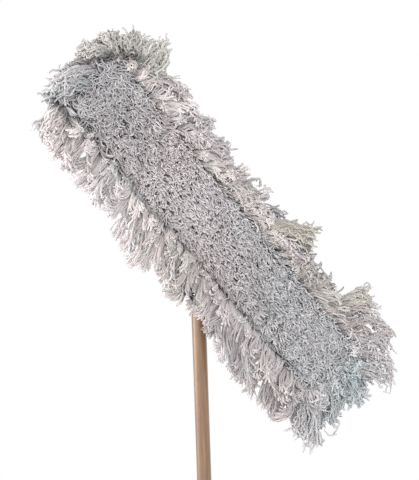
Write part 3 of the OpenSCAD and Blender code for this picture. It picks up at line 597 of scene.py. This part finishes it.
def row_of_locks(
    rng, start, stop, seed, row,
    inset, length, turn_r, bend, spacing, per_lock, hold, curl, paleness, fold, soil, sweep,
):
    """The paths and tones of one row of locks along a stretch of the edge.

    inset is how far in the row is sewn, turn_r and bend are the radius and angle by which its locks turn
    outwards, per_lock counts the strands of a lock and hold says how tightly they keep together. curl is for
    the tips, fold for how far the row folds in over the face at the upper end, soil for how far up from the
    roots the strands are darkened, by soil and by painted shade, and sweep for how far the lower side's locks
    lie combed down along the edge."""
    locks = max(3, int((stop - start) / spacing))
    s = start + (np.arange(locks) + 0.5 + rng.uniform(-0.4, 0.4, locks)) / locks * (stop - start)
    mid_at, mid_out = edge(s)
    along = mid_at[:, 0]
    # how much of a lock's place belongs to the lower side, the upper side, the lower end and both ends
    low_side, high_side = np.clip(mid_out[:, 1], 0, 1), np.clip(-mid_out[:, 1], 0, 1)
    low_end, at_ends = np.clip(mid_out[:, 0], 0, 1), abs(mid_out[:, 0]) ** 1.5
    # locks at the upper end fold back under their own weight
    crown = np.clip(-mid_out[:, 0], 0, 1) ** 1.5
    size = np.maximum(5, rng.normal(per_lock, 3, locks) * (1 + 0.4 * at_ends)).astype(int)
    lock = np.repeat(np.arange(locks), size)
    count = len(lock)
    at, out = edge(s[lock] + rng.normal(0, 0.3 * spacing, count))
    folded = 0.56 * crown * (1 + 0.5 * mid_out[:, 1])
    tall = length * reach(mid_at, mid_out) * (1 - folded - 0.14 * low_end**6)
    tall = tall * (1 + 0.22 * high_side * (abs(along) < 240))
    tall = tall * (1 + 0.11 * waves(s / 24, row * 5.0, seed + 1) + rng.normal(0, 0.06, locks))
    # locks of the long sides lie combed down along the edge
    combed = high_side * np.interp(along, [-260, -160, 220, 330], [0.0, 0.6, 0.6, 0.1]) - sweep * low_side
    lean = combed + 0.32 * waves(s / 26, row * 3.1, seed + 2) + rng.normal(0, 0.22, locks)
    lift = rng.normal(0, 0.15 + 0.25 * fold, locks) + crown * (rng.uniform(0.4, 1.4, locks) - 1.7 * fold)
    bow, bow_at = rng.normal(0, 0.62, (locks, 2)), rng.uniform(0, math.tau, (locks, 2))
    hook = rng.normal(0, 0.95, (locks, 2))
    # the lower side paler towards the upper end, painted light from the left, and the upper side paler short of
    # its lower end
    pale = low_side * np.interp(along, [-300, -60, 60], [0.36, 0.24, -0.07])
    pale = pale + 0.32 * high_side * (along < 150)
    shade = paleness + pale + 0.24 * waves(s / 17, row * 2.0, seed + 3) + rng.normal(0, 0.2, locks)
    # the crown's locks darker: painted shade in the hollows of the upper end
    shade = shade - 0.4 * crown + 0.2 * low_end - 0.14 * high_side * (along > 90)
    cool = np.clip((along - 200) / 140, 0, 1) * np.clip(mid_out[:, 1] + 1.2, 0, 1)
    warmth = 0.5 + 0.2 * waves(s / 70, row * 0.6, 4) + 0.1 * abs(mid_out[:, 1]) - 0.35 * cool

    # from here on strand by strand, and one in twenty has left its lock
    long = tall[lock] * rng.uniform(0.90, 1.08, count)
    stray = rng.random(count) < 0.05
    wild = np.where(stray, 2.4, 1.0)
    # the yarn of the ends is the most kinked
    kink = (1 + 1.1 * at_ends + 0.35 * high_side)[lock]
    out3 = np.concatenate([out, np.zeros((count, 1))], 1)
    aside = np.stack([-out[:, 1], out[:, 0], np.zeros(count)], -1)
    ahead = np.array([0.0, 0.0, -1.0])
    bends = (bend + lift[lock] + rng.normal(0, 0.08, count))[:, None]
    radius = (turn_r * rng.uniform(0.85, 1.15, count))[:, None]
    turned = np.minimum(bends, RUN_MIDS * long[:, None] / radius)[..., None]
    way = ahead * np.cos(turned) + out3[:, None] * np.sin(turned)
    rise = out3[:, None] * np.cos(turned) - ahead * np.sin(turned)
    slant = lean[lock, None] * np.minimum(1, 1.6 * RUN_MIDS)
    mids = RUN_MIDS[..., None]
    swing = bow[lock][:, None] * np.sin(bow_at[lock][:, None] + 5.0 * mids) * mids
    own_rate, own_at = rng.uniform(3.0, 8.0, (count, 1, 2)), rng.uniform(0, math.tau, (count, 1, 2))
    own = rng.normal(0, 1, (count, 1, 2)) * (wild * kink)[:, None, None]
    swing = swing + own * np.sin(own_at + own_rate * mids) * (0.16 + 0.5 * mids**2)
    way = way + aside[:, None] * (slant[..., None] + swing[..., :1]) + rise * swing[..., 1:]
    way /= span(way)
    # the tips of a lock curl much the same way
    rolled = (hook[lock] + rng.normal(0, 0.5, (count, 2)) * kink[:, None]) * curl * kink[:, None] ** 0.5
    way = curled(way, aside * rolled[:, :1] + rise[:, -1] * rolled[:, 1:], 2.2)
    sewn = at - out * (inset + rng.normal(0, 1.1, (count, 1)))
    paths = grow(np.concatenate([sewn, np.full((count, 1), BAND_LEVEL)], 1), way, long, RUN)
    # the locks below carry most of what would fall back on to the face
    inward = np.minimum(0, out3 @ DOWN)[:, None] * out3
    carried = 0.7 * (1 - fold * crown[lock])[:, None]
    limp = 2.6e-5 * rng.uniform(0.6, 1.5, count) * wild**0.5 / kink * (1 - 0.35 * np.clip(out[:, 1], 0, 1))
    paths = droop(paths, limp, DOWN - carried * inward)
    heart = np.zeros((locks, len(RUN), 3))
    np.add.at(heart, lock, paths)
    heart /= size[:, None, None]
    clump = (hold * np.sin(math.pi * np.minimum(1, RUN * 0.74)))[None, :, None]
    paths = paths + clump * np.where(stray, 0.2, 1.0)[:, None, None] * (heart[lock] - paths)
    paths = crimped(rng, paths, (0.3 + 2.2 * (kink - 1))[:, None] * RUN**0.7)
    paths[..., 2] = np.maximum(paths[..., 2], FRINGE_FRONT)
    # roots darker by soil and painted shade, and the crown's darker still: painted shade in its hollows
    tones = toned(
        (shade[lock] + rng.normal(0, 0.15, count))[:, None],
        0.22 - 0.12 * crown[lock][:, None] + 0.85 * RUN**soil,
        (warmth[lock] + rng.normal(0, 0.07, count))[:, None],
    )
    return keep_in(paths), tones


def fringe(name, start, stop, rows, nodes, seed):
    """One tier of the fringe along one stretch of the edge."""
    rng = np.random.default_rng(seed)
    locks = [row_of_locks(rng, start, stop, seed, k, *row) for k, row in enumerate(rows)]
    return spin_locks(rng, name, locks, nodes)


def stray_lock(rng, points, count, spread, shade, warmth):
    """The paths and tones of a lock along a smooth line through given points, with its spread at the tip."""
    points = np.array(points, float)
    line = np.concatenate([2 * points[:1] - points[1:2], points, 2 * points[-1:] - points[-2:-1]])
    # each strand follows its own stretch of the lock's line
    first, last = rng.uniform(0.0, 0.4, (count, 1)), rng.uniform(0.7, 1.0, (count, 1))
    x = (first + (last - first) * RUN) * (len(points) - 1)
    k = np.minimum(x.astype(int), len(points) - 2)
    f = (x - k)[..., None]
    a, b, c, d = line[k], line[k + 1], line[k + 2], line[k + 3]
    path = 0.5 * (2 * b + (c - a) * f + (2 * a - 5 * b + 4 * c - d) * f**2 + (3 * b - a - 3 * c + d) * f**3)
    base = 0.5 * spread
    spread = base + (spread - base) * RUN[None, :, None] ** 1.3
    path = path + rng.normal(0, 1, (count, 1, 3)) * spread * [1, 1, 0.6]
    steps = curled(np.diff(path, axis=1), rng.normal(0, 0.38, (count, 3)), 2.0)
    paths = crimped(rng, follow(path[:, :1], steps), 0.8 + 2.4 * RUN[None])
    paths[..., 2] = np.maximum(paths[..., 2], STRAY_FRONT)
    return keep_in(paths), toned((shade + rng.normal(0, 0.1, count))[:, None], 0.22 + 0.85 * RUN, warmth)


def face_warmth(rng, u, v):
    """Warmth of the face's strands, a little cooler towards the lower end."""
    return (0.40 - 0.0004 * u + 0.16 * waves(u / 60, v / 60, 25) + rng.normal(0, 0.06, len(u)))[:, None]


def yarn_face(name, low_u, high_u, seed):
    """Short cut yarn over a stretch of the face, in sewn rows, leaning in small whorls and downwards."""
    rng = np.random.default_rng(seed)
    half_u, half_v, corner = COVER_U - FACE_INSET + 2, COVER_V - FACE_INSET + 1.5, COVER_R - FACE_INSET + 1.5
    row_gap, strand_gap, usual = 3.0, 2.9, 21.5
    rows, spots = np.meshgrid(np.arange(-half_v, half_v + 0.1, row_gap), np.arange(low_u, high_u, strand_gap))
    u = (spots + rng.uniform(-1.8, 1.8, spots.shape)).ravel()
    v = (rows + rng.normal(0, 0.8, rows.shape)).ravel()
    over = np.hypot(np.maximum(0, abs(u) - half_u + corner), np.maximum(0, abs(v) - half_v + corner))
    u, v = u[over < corner], v[over < corner]
    count = len(u)
    lean_u = 0.4 * waves(u / 15, v / 15, 21) + 0.55 * waves(u / 3.2, v / 3.2, 32)
    lean_u = lean_u + rng.normal(0, 0.3, count) + 0.65
    lean_v = 0.4 * waves(u / 15, v / 15, 22) + 0.55 * waves(u / 3.2, v / 3.2, 33)
    lean_v = lean_v + rng.normal(0, 0.3, count) + 0.25
    # a valley runs beside the lower side's locks and round the upper end
    hollow = np.exp(-(((half_u + u - 6) / 16) ** 2)) * (0.75 + 0.5 * waves(v / 14, u / 30, 27))
    beside = np.exp(-(((half_v - v) / 8) ** 2)) * np.interp(u, [-250, -130, 200, 280], [0.3, 1.0, 1.0, 0.3])
    beside = beside * np.clip(0.6 + 0.7 * waves(u / 13, v / 60, 28), 0, 1)
    valley = np.minimum(1, beside + np.maximum(0, hollow))
    # both ends are worn into mounds, the upper one more
    mounds = np.interp(u, [-200, -110, 60, 160], [1.0, 0.0, 0.0, 0.8]) * waves(u / 8, v / 8, 34)
    long = usual * (1 + 0.08 * waves(u / 20, v / 20, 23) + 0.3 * mounds) * rng.uniform(0.84, 1.1, count)
    long = long * (1 - 0.55 * valley)
    more = 2.4 * FACE_MIDS
    way = np.stack([lean_u, lean_v, -np.ones(count)], -1)[:, None]
    way = way * np.concatenate([more, more, np.ones_like(more)], 2)
    curl = rng.normal(0, 1, (count, 1, 3))
    start, rate = rng.uniform(0, 6, (count, 1, 3)), rng.uniform(3, 8, (count, 1, 3))
    way = way + 0.4 * (curl * np.sin(start + rate * FACE_MIDS)) * FACE_MIDS
    way /= span(way)
    paths = grow(np.stack([u + COVER_MID, v, np.full(count, FACE_ROOT)], -1), way, long, FACE_RUN)
    paths[..., 2] = np.maximum(paths[..., 2], FACE_FRONT)
    # palest a little above the middle, and darker at the upper end
    palest = np.exp(-(((u + 80) / 75) ** 2))
    shade = 0.54 + 0.12 * waves(u / 8, v / 8, 24) + 0.08 * waves(u / 45, v / 45, 26)
    shade = shade + rng.normal(0, 0.26, count) + 0.14 * waves(u / 3.2, v / 3.2, 29) + 0.06 + 0.34 * palest
    # painted light on the mounds' tops, painted shade between them and in the valley
    shade = shade - 0.26 * np.clip((-u - 160) / 60, 0, 1) + 0.45 * mounds - 0.2 * valley
    tipward = 0.1 + 0.9 * FACE_RUN ** (0.9 - 0.35 * palest)[:, None]
    tones = toned(shade[:, None], tipward, face_warmth(rng, u, v))
    return spin_yarn(name, paths, strand_thickness(rng, *paths.shape[:2], FACE_YARN_R), tones, ["yarn_pile"])


def loose_yarn(name, count, seed):
    """Longer strands that lie matted over the face, most of them near its ends and its upper side."""
    rng = np.random.default_rng(seed)
    half_u, half_v, tries = COVER_U - FACE_INSET - 6, COVER_V - FACE_INSET - 4, 6 * count
    u, v = rng.uniform(-half_u, half_u, tries), rng.uniform(-half_v, half_v, tries)
    crowd = 0.15 + np.where(u < 0, 0.45, 0.6) * np.clip((abs(u) - 170) / 110, 0, 1)
    crowd = crowd + 0.3 * np.clip(-v / half_v, 0, 1)
    keep = np.nonzero(rng.uniform(0, 1.4, tries) < crowd)[0][:count]
    u, v, count = u[keep], v[keep], len(keep)
    end = np.clip((abs(u) - 190) / 80, 0, 1)
    long = rng.uniform(14, 26, count) * (1 + 0.3 * end)
    wild = 0.45 + 0.4 * np.clip((abs(u) - 210) / 70, 0, 1)
    heading = 0.5 + 0.5 * waves(u / 24, v / 24, 71) + rng.normal(0, 1, count) * wild
    bend = rng.normal(0, 1.1, (count, 1)) * (1 + 2.0 * end[:, None]) * RUN_MIDS
    bend = bend + 0.35 * np.sin(rng.uniform(0, 6, (count, 1)) + 6 * RUN_MIDS)
    angle = heading[:, None] + bend
    # up out of the pile, then flat on it
    rise = np.interp(RUN_MIDS, [0.0, 0.25, 0.45, 1.0], [1.25, 0.8, 0.1, -0.12])
    rise = rise + 0.25 * np.sin(rng.uniform(0, 6, (count, 1)) + 8 * RUN_MIDS)
    way = np.stack([np.cos(angle) * np.cos(rise), np.sin(angle) * np.cos(rise), -np.sin(rise)], -1)
    paths = grow(np.stack([u + COVER_MID, v, np.full(count, LOOSE_ROOT)], -1), way, long, RUN)
    paths[..., 2] = np.clip(paths[..., 2], LOOSE_FRONT, LOOSE_ROOT)
    shade = (0.44 + 0.24 * waves(u / 11, v / 11, 73) + rng.normal(0, 0.2, count))[:, None]
    tones = toned(shade, 0.45 + 0.55 * RUN, face_warmth(rng, u, v))
    return spin_yarn(name, paths, strand_thickness(rng, *paths.shape[:2], LOOSE_YARN_R), tones, ["yarn_pile"])


# Rows of locks, with the values of row_of_locks from inset to sweep. The upper tier lies over the lower one
# and is paler, in part painted light where its locks bend over; the lower tier's roots are darkened further up,
# painted shade under the upper tier
LOWER_TIER = [
    (2.6, 74, 9, 1.78, 13, 14, 0.4, 0.6, 0.52, 0.0, 1.8, 0.0),
    (5.6, 78, 13, 1.74, 13, 12, 0.55, 0.8, 0.56, 0.0, 1.6, 0.0),
]
UPPER_TIER = [
    (8.6, 54, 18, 1.6, 12, 11, 0.5, 1.1, 0.66, 0.3, 1.0, 0.35),
    (11.4, 39, 20, 1.3, 10, 10, 0.5, 1.3, 0.7, 1.0, 1.0, 0.5),
]
STRETCHES = [
    ("fringe_leading", 0.0, SIDE_RUN),
    ("fringe_right_end", SIDE_RUN, SIDE_RUN + ROUND_END),
    ("fringe_trailing", SIDE_RUN + ROUND_END, 2 * SIDE_RUN + ROUND_END),
    ("fringe_left_end", 2 * SIDE_RUN + ROUND_END, EDGE_RUN),
]
fringe_yarn = []
for k, (solid, start, stop) in enumerate(STRETCHES):
    fringe_yarn += fringe(solid + "_lower_yarn", start, stop, LOWER_TIER, [solid], 100 + 10 * k)
    fringe_yarn += fringe(solid + "_upper_yarn", start, stop, UPPER_TIER, [solid], 105 + 10 * k)

# Single locks that stand out in the photograph: points on their lines, strands, spread, shade and warmth
STRAY_LOCKS = [
    ([(52, -60, -6), (78, -88, -26), (112, -106, -24), (146, -123, -18)], 38, 3.2, 0.62, 0.95),
    ([(56, -58, -6), (80, -83, -27), (114, -100, -25), (150, -117, -18)], 38, 3.2, 0.66, 0.95),
    ([(60, -56, -6), (82, -78, -26), (116, -95, -24), (150, -110, -18)], 38, 3.2, 0.62, 0.95),
    ([(-10, -62, -6), (-4, -97, -18), (10, -107, -14), (29, -99, -12)], 2, 1.5, 0.7, 0.6),
    ([(18, -62, -6), (27, -92, -20), (28, -111, -14)], 5, 2.2, 0.8, 0.6),
    ([(-14, 60, -6), (2, 90, -22), (18, 111, -20), (33, 132, -18)], 5, 2.5, 0.8, 0.5),
    ([(-292, -18, -14), (-308, 4, -28), (-316, 30, -30), (-312, 54, -24)], 34, 6, 0.7, 0.4),
    ([(-284, 2, -14), (-298, 22, -26), (-306, 44, -28), (-300, 66, -24)], 30, 6, 0.6, 0.25),
    ([(-298, -42, -12), (-308, -38, -30), (-320, -28, -28), (-328, -14, -20)], 44, 6, 0.54, 0.76),
    ([(-292, -54, -12), (-301, -54, -30), (-311, -57, -26), (-317, -60, -18)], 44, 7, 0.5, 0.76),
    ([(-282, -66, -12), (-289, -74, -30), (-294, -84, -24), (-298, -92, -16)], 44, 7, 0.5, 0.76),
    ([(-268, -72, -12), (-274, -82, -28), (-280, -91, -22), (-282, -98, -16)], 34, 6, 0.67, 0.76),
    ([(-256, -62, -10), (-262, -84, -28), (-268, -98, -22), (-276, -108, -16)], 30, 6, 0.85, 0.76),
    ([(-244, -60, -6), (-247, -94, -24), (-251, -114, -20), (-258, -132, -14)], 40, 6, 0.85, 0.76),
    ([(-236, -58, -6), (-232, -90, -22), (-234, -102, -18), (-240, -112, -14)], 24, 6, 0.85, 0.76),
    ([(-282, 48, -8), (-277, 76, -24), (-270, 96, -22), (-263, 108, -16)], 34, 7, 0.85, 0.6),
    ([(236, -58, -6), (254, -98, -26), (268, -120, -22), (286, -132, -16)], 34, 4.4, 0.74, 0.86),
    ([(246, -58, -6), (266, -96, -26), (282, -118, -22), (300, -128, -16)], 34, 4.4, 0.78, 0.86),
    ([(335, -40, -6), (346, -98, -22), (360, -116, -18), (376, -124, -14)], 20, 5, 0.8, 0.6),
    ([(328, 47, -6), (352, 72, -24), (376, 92, -20), (404, 116, -16)], 40, 6, 0.64, 0.34),
    ([(316, 52, -6), (336, 84, -24), (352, 104, -20), (376, 124, -16)], 30, 6, 0.64, 0.34),
    ([(330, -36, -6), (358, -66, -24), (392, -80, -20), (428, -74, -16)], 26, 6, 0.8, 0.5),
    ([(338, -20, -6), (370, -44, -24), (400, -58, -20), (430, -62, -16)], 30, 6, 0.8, 0.4),
    ([(318, -50, -6), (342, -86, -24), (366, -96, -20), (392, -90, -16)], 22, 6, 0.8, 0.4),
    ([(296, -56, -6), (312, -98, -24), (330, -110, -20), (352, -116, -16)], 26, 7, 0.8, 0.5),
    ([(262, -56, -6), (280, -98, -24), (298, -112, -20), (322, -120, -16)], 26, 7, 0.8, 0.6),
]
stray_draws = np.random.default_rng(151)
stray_yarn = [stray_lock(stray_draws, *guide) for guide in STRAY_LOCKS]
fringe_yarn += spin_locks(stray_draws, "fringe_stray_yarn", stray_yarn, [])
face_yarn = [
    yarn_face("yarn_face_upper", -COVER_U, -COVER_U / 3, 161),
    yarn_face("yarn_face_middle", -COVER_U / 3, COVER_U / 3, 162),
    yarn_face("yarn_face_lower", COVER_U / 3, COVER_U, 163),
    loose_yarn("yarn_face_loose", 1400, 164),
]

# Sewn cover


def cut_cloth(name, along, across, shape, thickness, material, slot, nodes, sizes=()):
    """A sheet from a grid: shape gives its places by the shares along and across it and by its sizes."""
    bm = bmesh.new()
    bmesh.ops.create_grid(bm, x_segments=along, y_segments=across, size=0.5)
    share = np.array([vert.co[:2] for vert in bm.verts]) + 0.5
    for vert, point in zip(bm.verts, place(shape(*share.T, *sizes))):
        vert.co = point
    bmesh.ops.remove_doubles(bm, verts=bm.verts, dist=0.05 * MM)
    bmesh.ops.recalc_face_normals(bm, faces=bm.faces)
    mesh = bpy.data.meshes.new(name)
    bm.to_mesh(mesh)
    bm.free()
    piece = add_piece(name, mesh, material, nodes)
    wall = piece.modifiers.new("thickness", "SOLIDIFY")
    wall.thickness, wall.offset = thickness * MM, 0.0
    return piece


def wrinkle(u, v, bare=1.0):
    """Height of the canvas's wrinkles, by how bare it is of a pocket."""
    return 0.45 * bare * waves(u / 13, v / 11, 31)


def backing_shape(x, y):
    """The flat canvas with its rounded ends, a little wrinkled where no pocket holds it down."""
    v = COVER_V * np.sin((y - 0.5) * math.pi)
    past = np.maximum(0, abs(v) - COVER_V + COVER_R)
    half = COVER_U - COVER_R + np.sqrt(np.maximum(0, COVER_R**2 - past**2))
    u = COVER_MID + (2 * x - 1) * half
    open_part = 1 / (1 + np.exp((abs(u) - MOUTH_U) / 4))
    return np.stack([u, v, -0.9 + wrinkle(u, v, open_part)], -1)


# Each pocket: side, direction along the head, its cloth's end, seeds of its creases and tape, flat length
POCKETS = [("left", -1, 312.7, 51, 61, 0.252), ("right", 1, 344.7, 53, 63, 0.284)]


def pocket_rings(end):
    """A pocket's rings from its sewn edge at the given end to its middle: end, half width, corner, height."""
    quarters = np.linspace(0, 1, 5)
    flange = [(end + (304.6 - end) * k, 66.7 - 7.1 * k, 44.7 - 4.1 * k, 0.75) for k in quarters]
    wall = [(304.4, 59.4, 40.4, 3.0), (304.3, 59.3, 40.3, 5.6), (304.1, 59.1, 40.1, 8.2)]
    brow = [(302.6, 57.6, 38.6, 10.7), (300.0, 55.0, 36.0, 11.7), (296.0, 51.0, 32.6, 12.0)]
    top = [(289.0, 44.0, 27.0, 11.9), (281.0, 36.0, 20.5, 11.7), (272.0, 27.0, 13.5, 11.4)]
    middle = [(263.0, 18.0, 7.0, 11.2), (254.0, 9.0, 2.0, 11.1), (245.0, 0.0, 0.0, 11.1)]
    return np.array(flange + wall + brow + top + middle)


def pocket_path(t, end, half, corner):
    """Places round a pocket's ring, from its mouth along one side, round the end and back along the other."""
    # shares of the ring that a side, a corner and the straight part of the end take
    side, turn, straight = 0.36, 0.1, 0.08
    out = np.clip(t / side, 0, 1)
    first = np.clip((t - side) / turn, 0, 1)
    over = np.clip((t - side - turn) / straight, 0, 1)
    second = np.clip((t - side - turn - straight) / turn, 0, 1)
    back = np.clip((t - 1 + side) / side, 0, 1)
    angle = math.pi / 2 * (1 - first - second)
    u = MOUTH_U + (end - corner - MOUTH_U) * (out - back) + corner * np.cos(angle)
    return u, (half - corner) * (1 - 2 * over) + corner * np.sin(angle)


def pocket_shape(x, y, end, toward, seed):
    """A pocket on the left, toward -1, or on the right, toward 1."""
    rings = pocket_rings(end)
    steps = np.linspace(0, 1, len(rings))
    ring = [np.interp(y, steps, rings[:, k]) for k in range(4)]
    u, v = pocket_path(x, *ring[:3])
    # some 40 puckers where the wall is gathered into its seam, and soft creases over the wires
    gathers = 0.30 * np.sin(x * 480 / 1.9) + 0.35 * waves(x * 60, y * 2, seed)
    pucker = np.exp(-(((y - 0.34) / 0.12) ** 2)) * gathers
    crease = np.clip((y - 0.5) * 4, 0, 1) * 0.7 * waves(u / 15 + v / 22, v / 13, seed + 1)
    return np.stack([toward * u, v, ring[3] + pucker + crease], -1)


# The binding's section from its front hem round the edge to its back hem: place past the edge and height
BINDING_FRONT = [(-5.6, -2.3), (-2.6, -2.45), (0.1, -2.25), (0.7, -1.2)]
BINDING_BACK = [(0.7, 0.4), (0.1, 1.5), (-2.6, 1.95), (-5.6, 1.8)]
BINDING = np.array(BINDING_FRONT + BINDING_BACK)


def binding_shape(x, y):
    """Tape folded over the edge and sewn through, drawn in a little at each stitch."""
    at, out = edge(x * EDGE_RUN)
    k = np.linspace(0, 1, len(BINDING))
    off, n = np.interp(y, k, BINDING[:, 0]), np.interp(y, k, BINDING[:, 1])
    off = off + 0.3 * waves(x * 130, y * 3, 41) * abs(2 * y - 1) ** 2
    n = n + 0.16 * np.sin(x * EDGE_RUN / 9.2 * math.tau) * (2 * y - 1) ** 3
    return np.concatenate([at + out * off[:, None], n[:, None]], 1)


def band_shape(x, y):
    """The tape that the fringe is sewn to, round the front of the edge."""
    at, out = edge(x * EDGE_RUN)
    n = BAND_LEVEL + 0.5 + 0.2 * waves(x * 90, y * 2, 43)
    return np.concatenate([at - out * (0.1 + BAND_W * y)[:, None], n[:, None]], 1)


# The tape's section across a mouth's edge: place along the head and height over the pocket
TAPE_OUTSIDE = [(84.0, 1.1), (79.0, 1.15), (74.0, 1.15), (71.6, 0.9)]
TAPE_INSIDE = [(71.0, 0.0), (71.6, -0.9), (74.0, -1.15), (79.0, -1.1)]
TAPE_FOLD = np.array(TAPE_OUTSIDE + TAPE_INSIDE)


def mouth_section(t):
    """Places and outward directions round a pocket's mouth, from one foot over its top to the other."""
    # from the wall's foot on, where both pockets are the same
    half = pocket_rings(POCKETS[0][2])[4:]
    v = np.concatenate([half[:, 1], -half[-2::-1, 1]])
    n = np.concatenate([half[:, 3], half[-2::-1, 3]])
    run = np.concatenate([[0], np.hypot(np.diff(v), np.diff(n)).cumsum()])
    run /= run[-1]
    ahead = np.stack([np.interp(t + 0.01, run, way) - np.interp(t - 0.01, run, way) for way in (v, n)], -1)
    ahead /= span(ahead)
    return np.interp(t, run, v), np.interp(t, run, n), np.stack([ahead[..., 1], -ahead[..., 0]], -1)


def tape_shape(x, y, toward, seed):
    """The tape folded over the mouth of a pocket."""
    v, n, out = mouth_section(x)
    k = np.linspace(0, 1, len(TAPE_FOLD))
    u, off = np.interp(y, k, TAPE_FOLD[:, 0]), np.interp(y, k, TAPE_FOLD[:, 1])
    u = u + 0.35 * waves(x * 16, y, seed)
    off = off + 0.14 * waves(x * 40, y * 2, seed + 1)
    return np.stack([toward * u, v + out[..., 0] * off, n + out[..., 1] * off], -1)


def sew(name, runs):
    """Rows of machine stitches. A run gives how many they are, how they lie and the sizes for that."""
    all_paths = []
    for count, lie, *sizes in runs:
        # a stitch comes up, lies on the cloth and goes down before the next one
        share = np.arange(count)[:, None] / count + np.array([0.0, 0.2, 0.56, 0.76]) / count
        height = np.broadcast_to([-0.3, 0.15, 0.15, -0.3], share.shape)
        all_paths.append(lie(share, height, *sizes))
    paths = np.concatenate(all_paths)
    tones = np.broadcast_to([0.15, 0.9, 1.0], paths.shape)
    return spin_yarn(name, paths, np.full(paths.shape[:2], THREAD_R), tones)


def edge_row(share, height, inset, level):
    """A row all round the cover, in from its edge."""
    at, out = edge(share * EDGE_RUN)
    return np.concatenate([at - out * inset, (level + height)[..., None]], -1)


# End, half width, corner and height of the seam round a pocket's flange
POCKET_SEAM = 307.0, 61.6, 41.8, 1.4


def pocket_row(share, height, toward, end, half, corner, level):
    """A row round a pocket's flange."""
    u, v = pocket_path(share, end, half, corner)
    return np.stack([toward * u, v, level + height], -1)


def tape_row(share, height, toward, u, rise):
    """A row over a pocket's mouth, through its tape."""
    v, n, out = mouth_section(0.02 + 0.96 * share)
    off = rise + height
    return np.stack([np.full_like(v, toward * u), v + out[..., 0] * off, n + out[..., 1] * off], -1)


def backing_row(share, height, v):
    """A row of the tufting, on the bare canvas between the pockets."""
    u = (2 * share - 1) * (MOUTH_U - 2)
    across = np.full_like(u, v)
    return np.stack([u, across, 0.1 + wrinkle(u, across) + height], -1)


CLOTH, TWILL = (CANVAS, "cotton_canvas"), (TAPE, "twill_tape")

backing = cut_cloth("canvas_backing_cloth", 150, 40, backing_shape, 1.8, *CLOTH, ["canvas_backing"])
pockets = [
    cut_cloth(
        f"{side}_pocket_cloth", 200, 48, pocket_shape, 1.2, *CLOTH, [f"pocket_{side}"], (end, toward, seed)
    )
    for side, toward, end, seed, *_ in POCKETS
]
binding = cut_cloth("edge_binding_tape", 500, len(BINDING) - 1, binding_shape, 0.8, *TWILL, ["edge_binding"])
band = cut_cloth("fringe_band_tape", 400, 4, band_shape, 1.0, *TWILL, [])
mouth_tapes = [
    cut_cloth(f"{side}_mouth_tape", 90, 14, tape_shape, 0.8, *TWILL, ["mouth_tapes"], (toward, seed))
    for side, toward, _, _, seed, _ in POCKETS
]

binding_stitches = sew("edge_binding_stitches", [(330, edge_row, 3.6, 2.35)])
pocket_stitches = [
    sew(f"{side}_pocket_stitches", [(150, pocket_row, toward, *POCKET_SEAM)]) for side, toward, *_ in POCKETS
]
tape_stitches = [
    sew(f"{side}_tape_stitches", [(32, tape_row, toward, 74.4, 1.65), (32, tape_row, toward, 82.0, 1.6)])
    for side, toward, *_ in POCKETS
]
backing_stitches = sew("tufting_stitches", [(22, backing_row, v) for v in range(-48, 49, 12)])
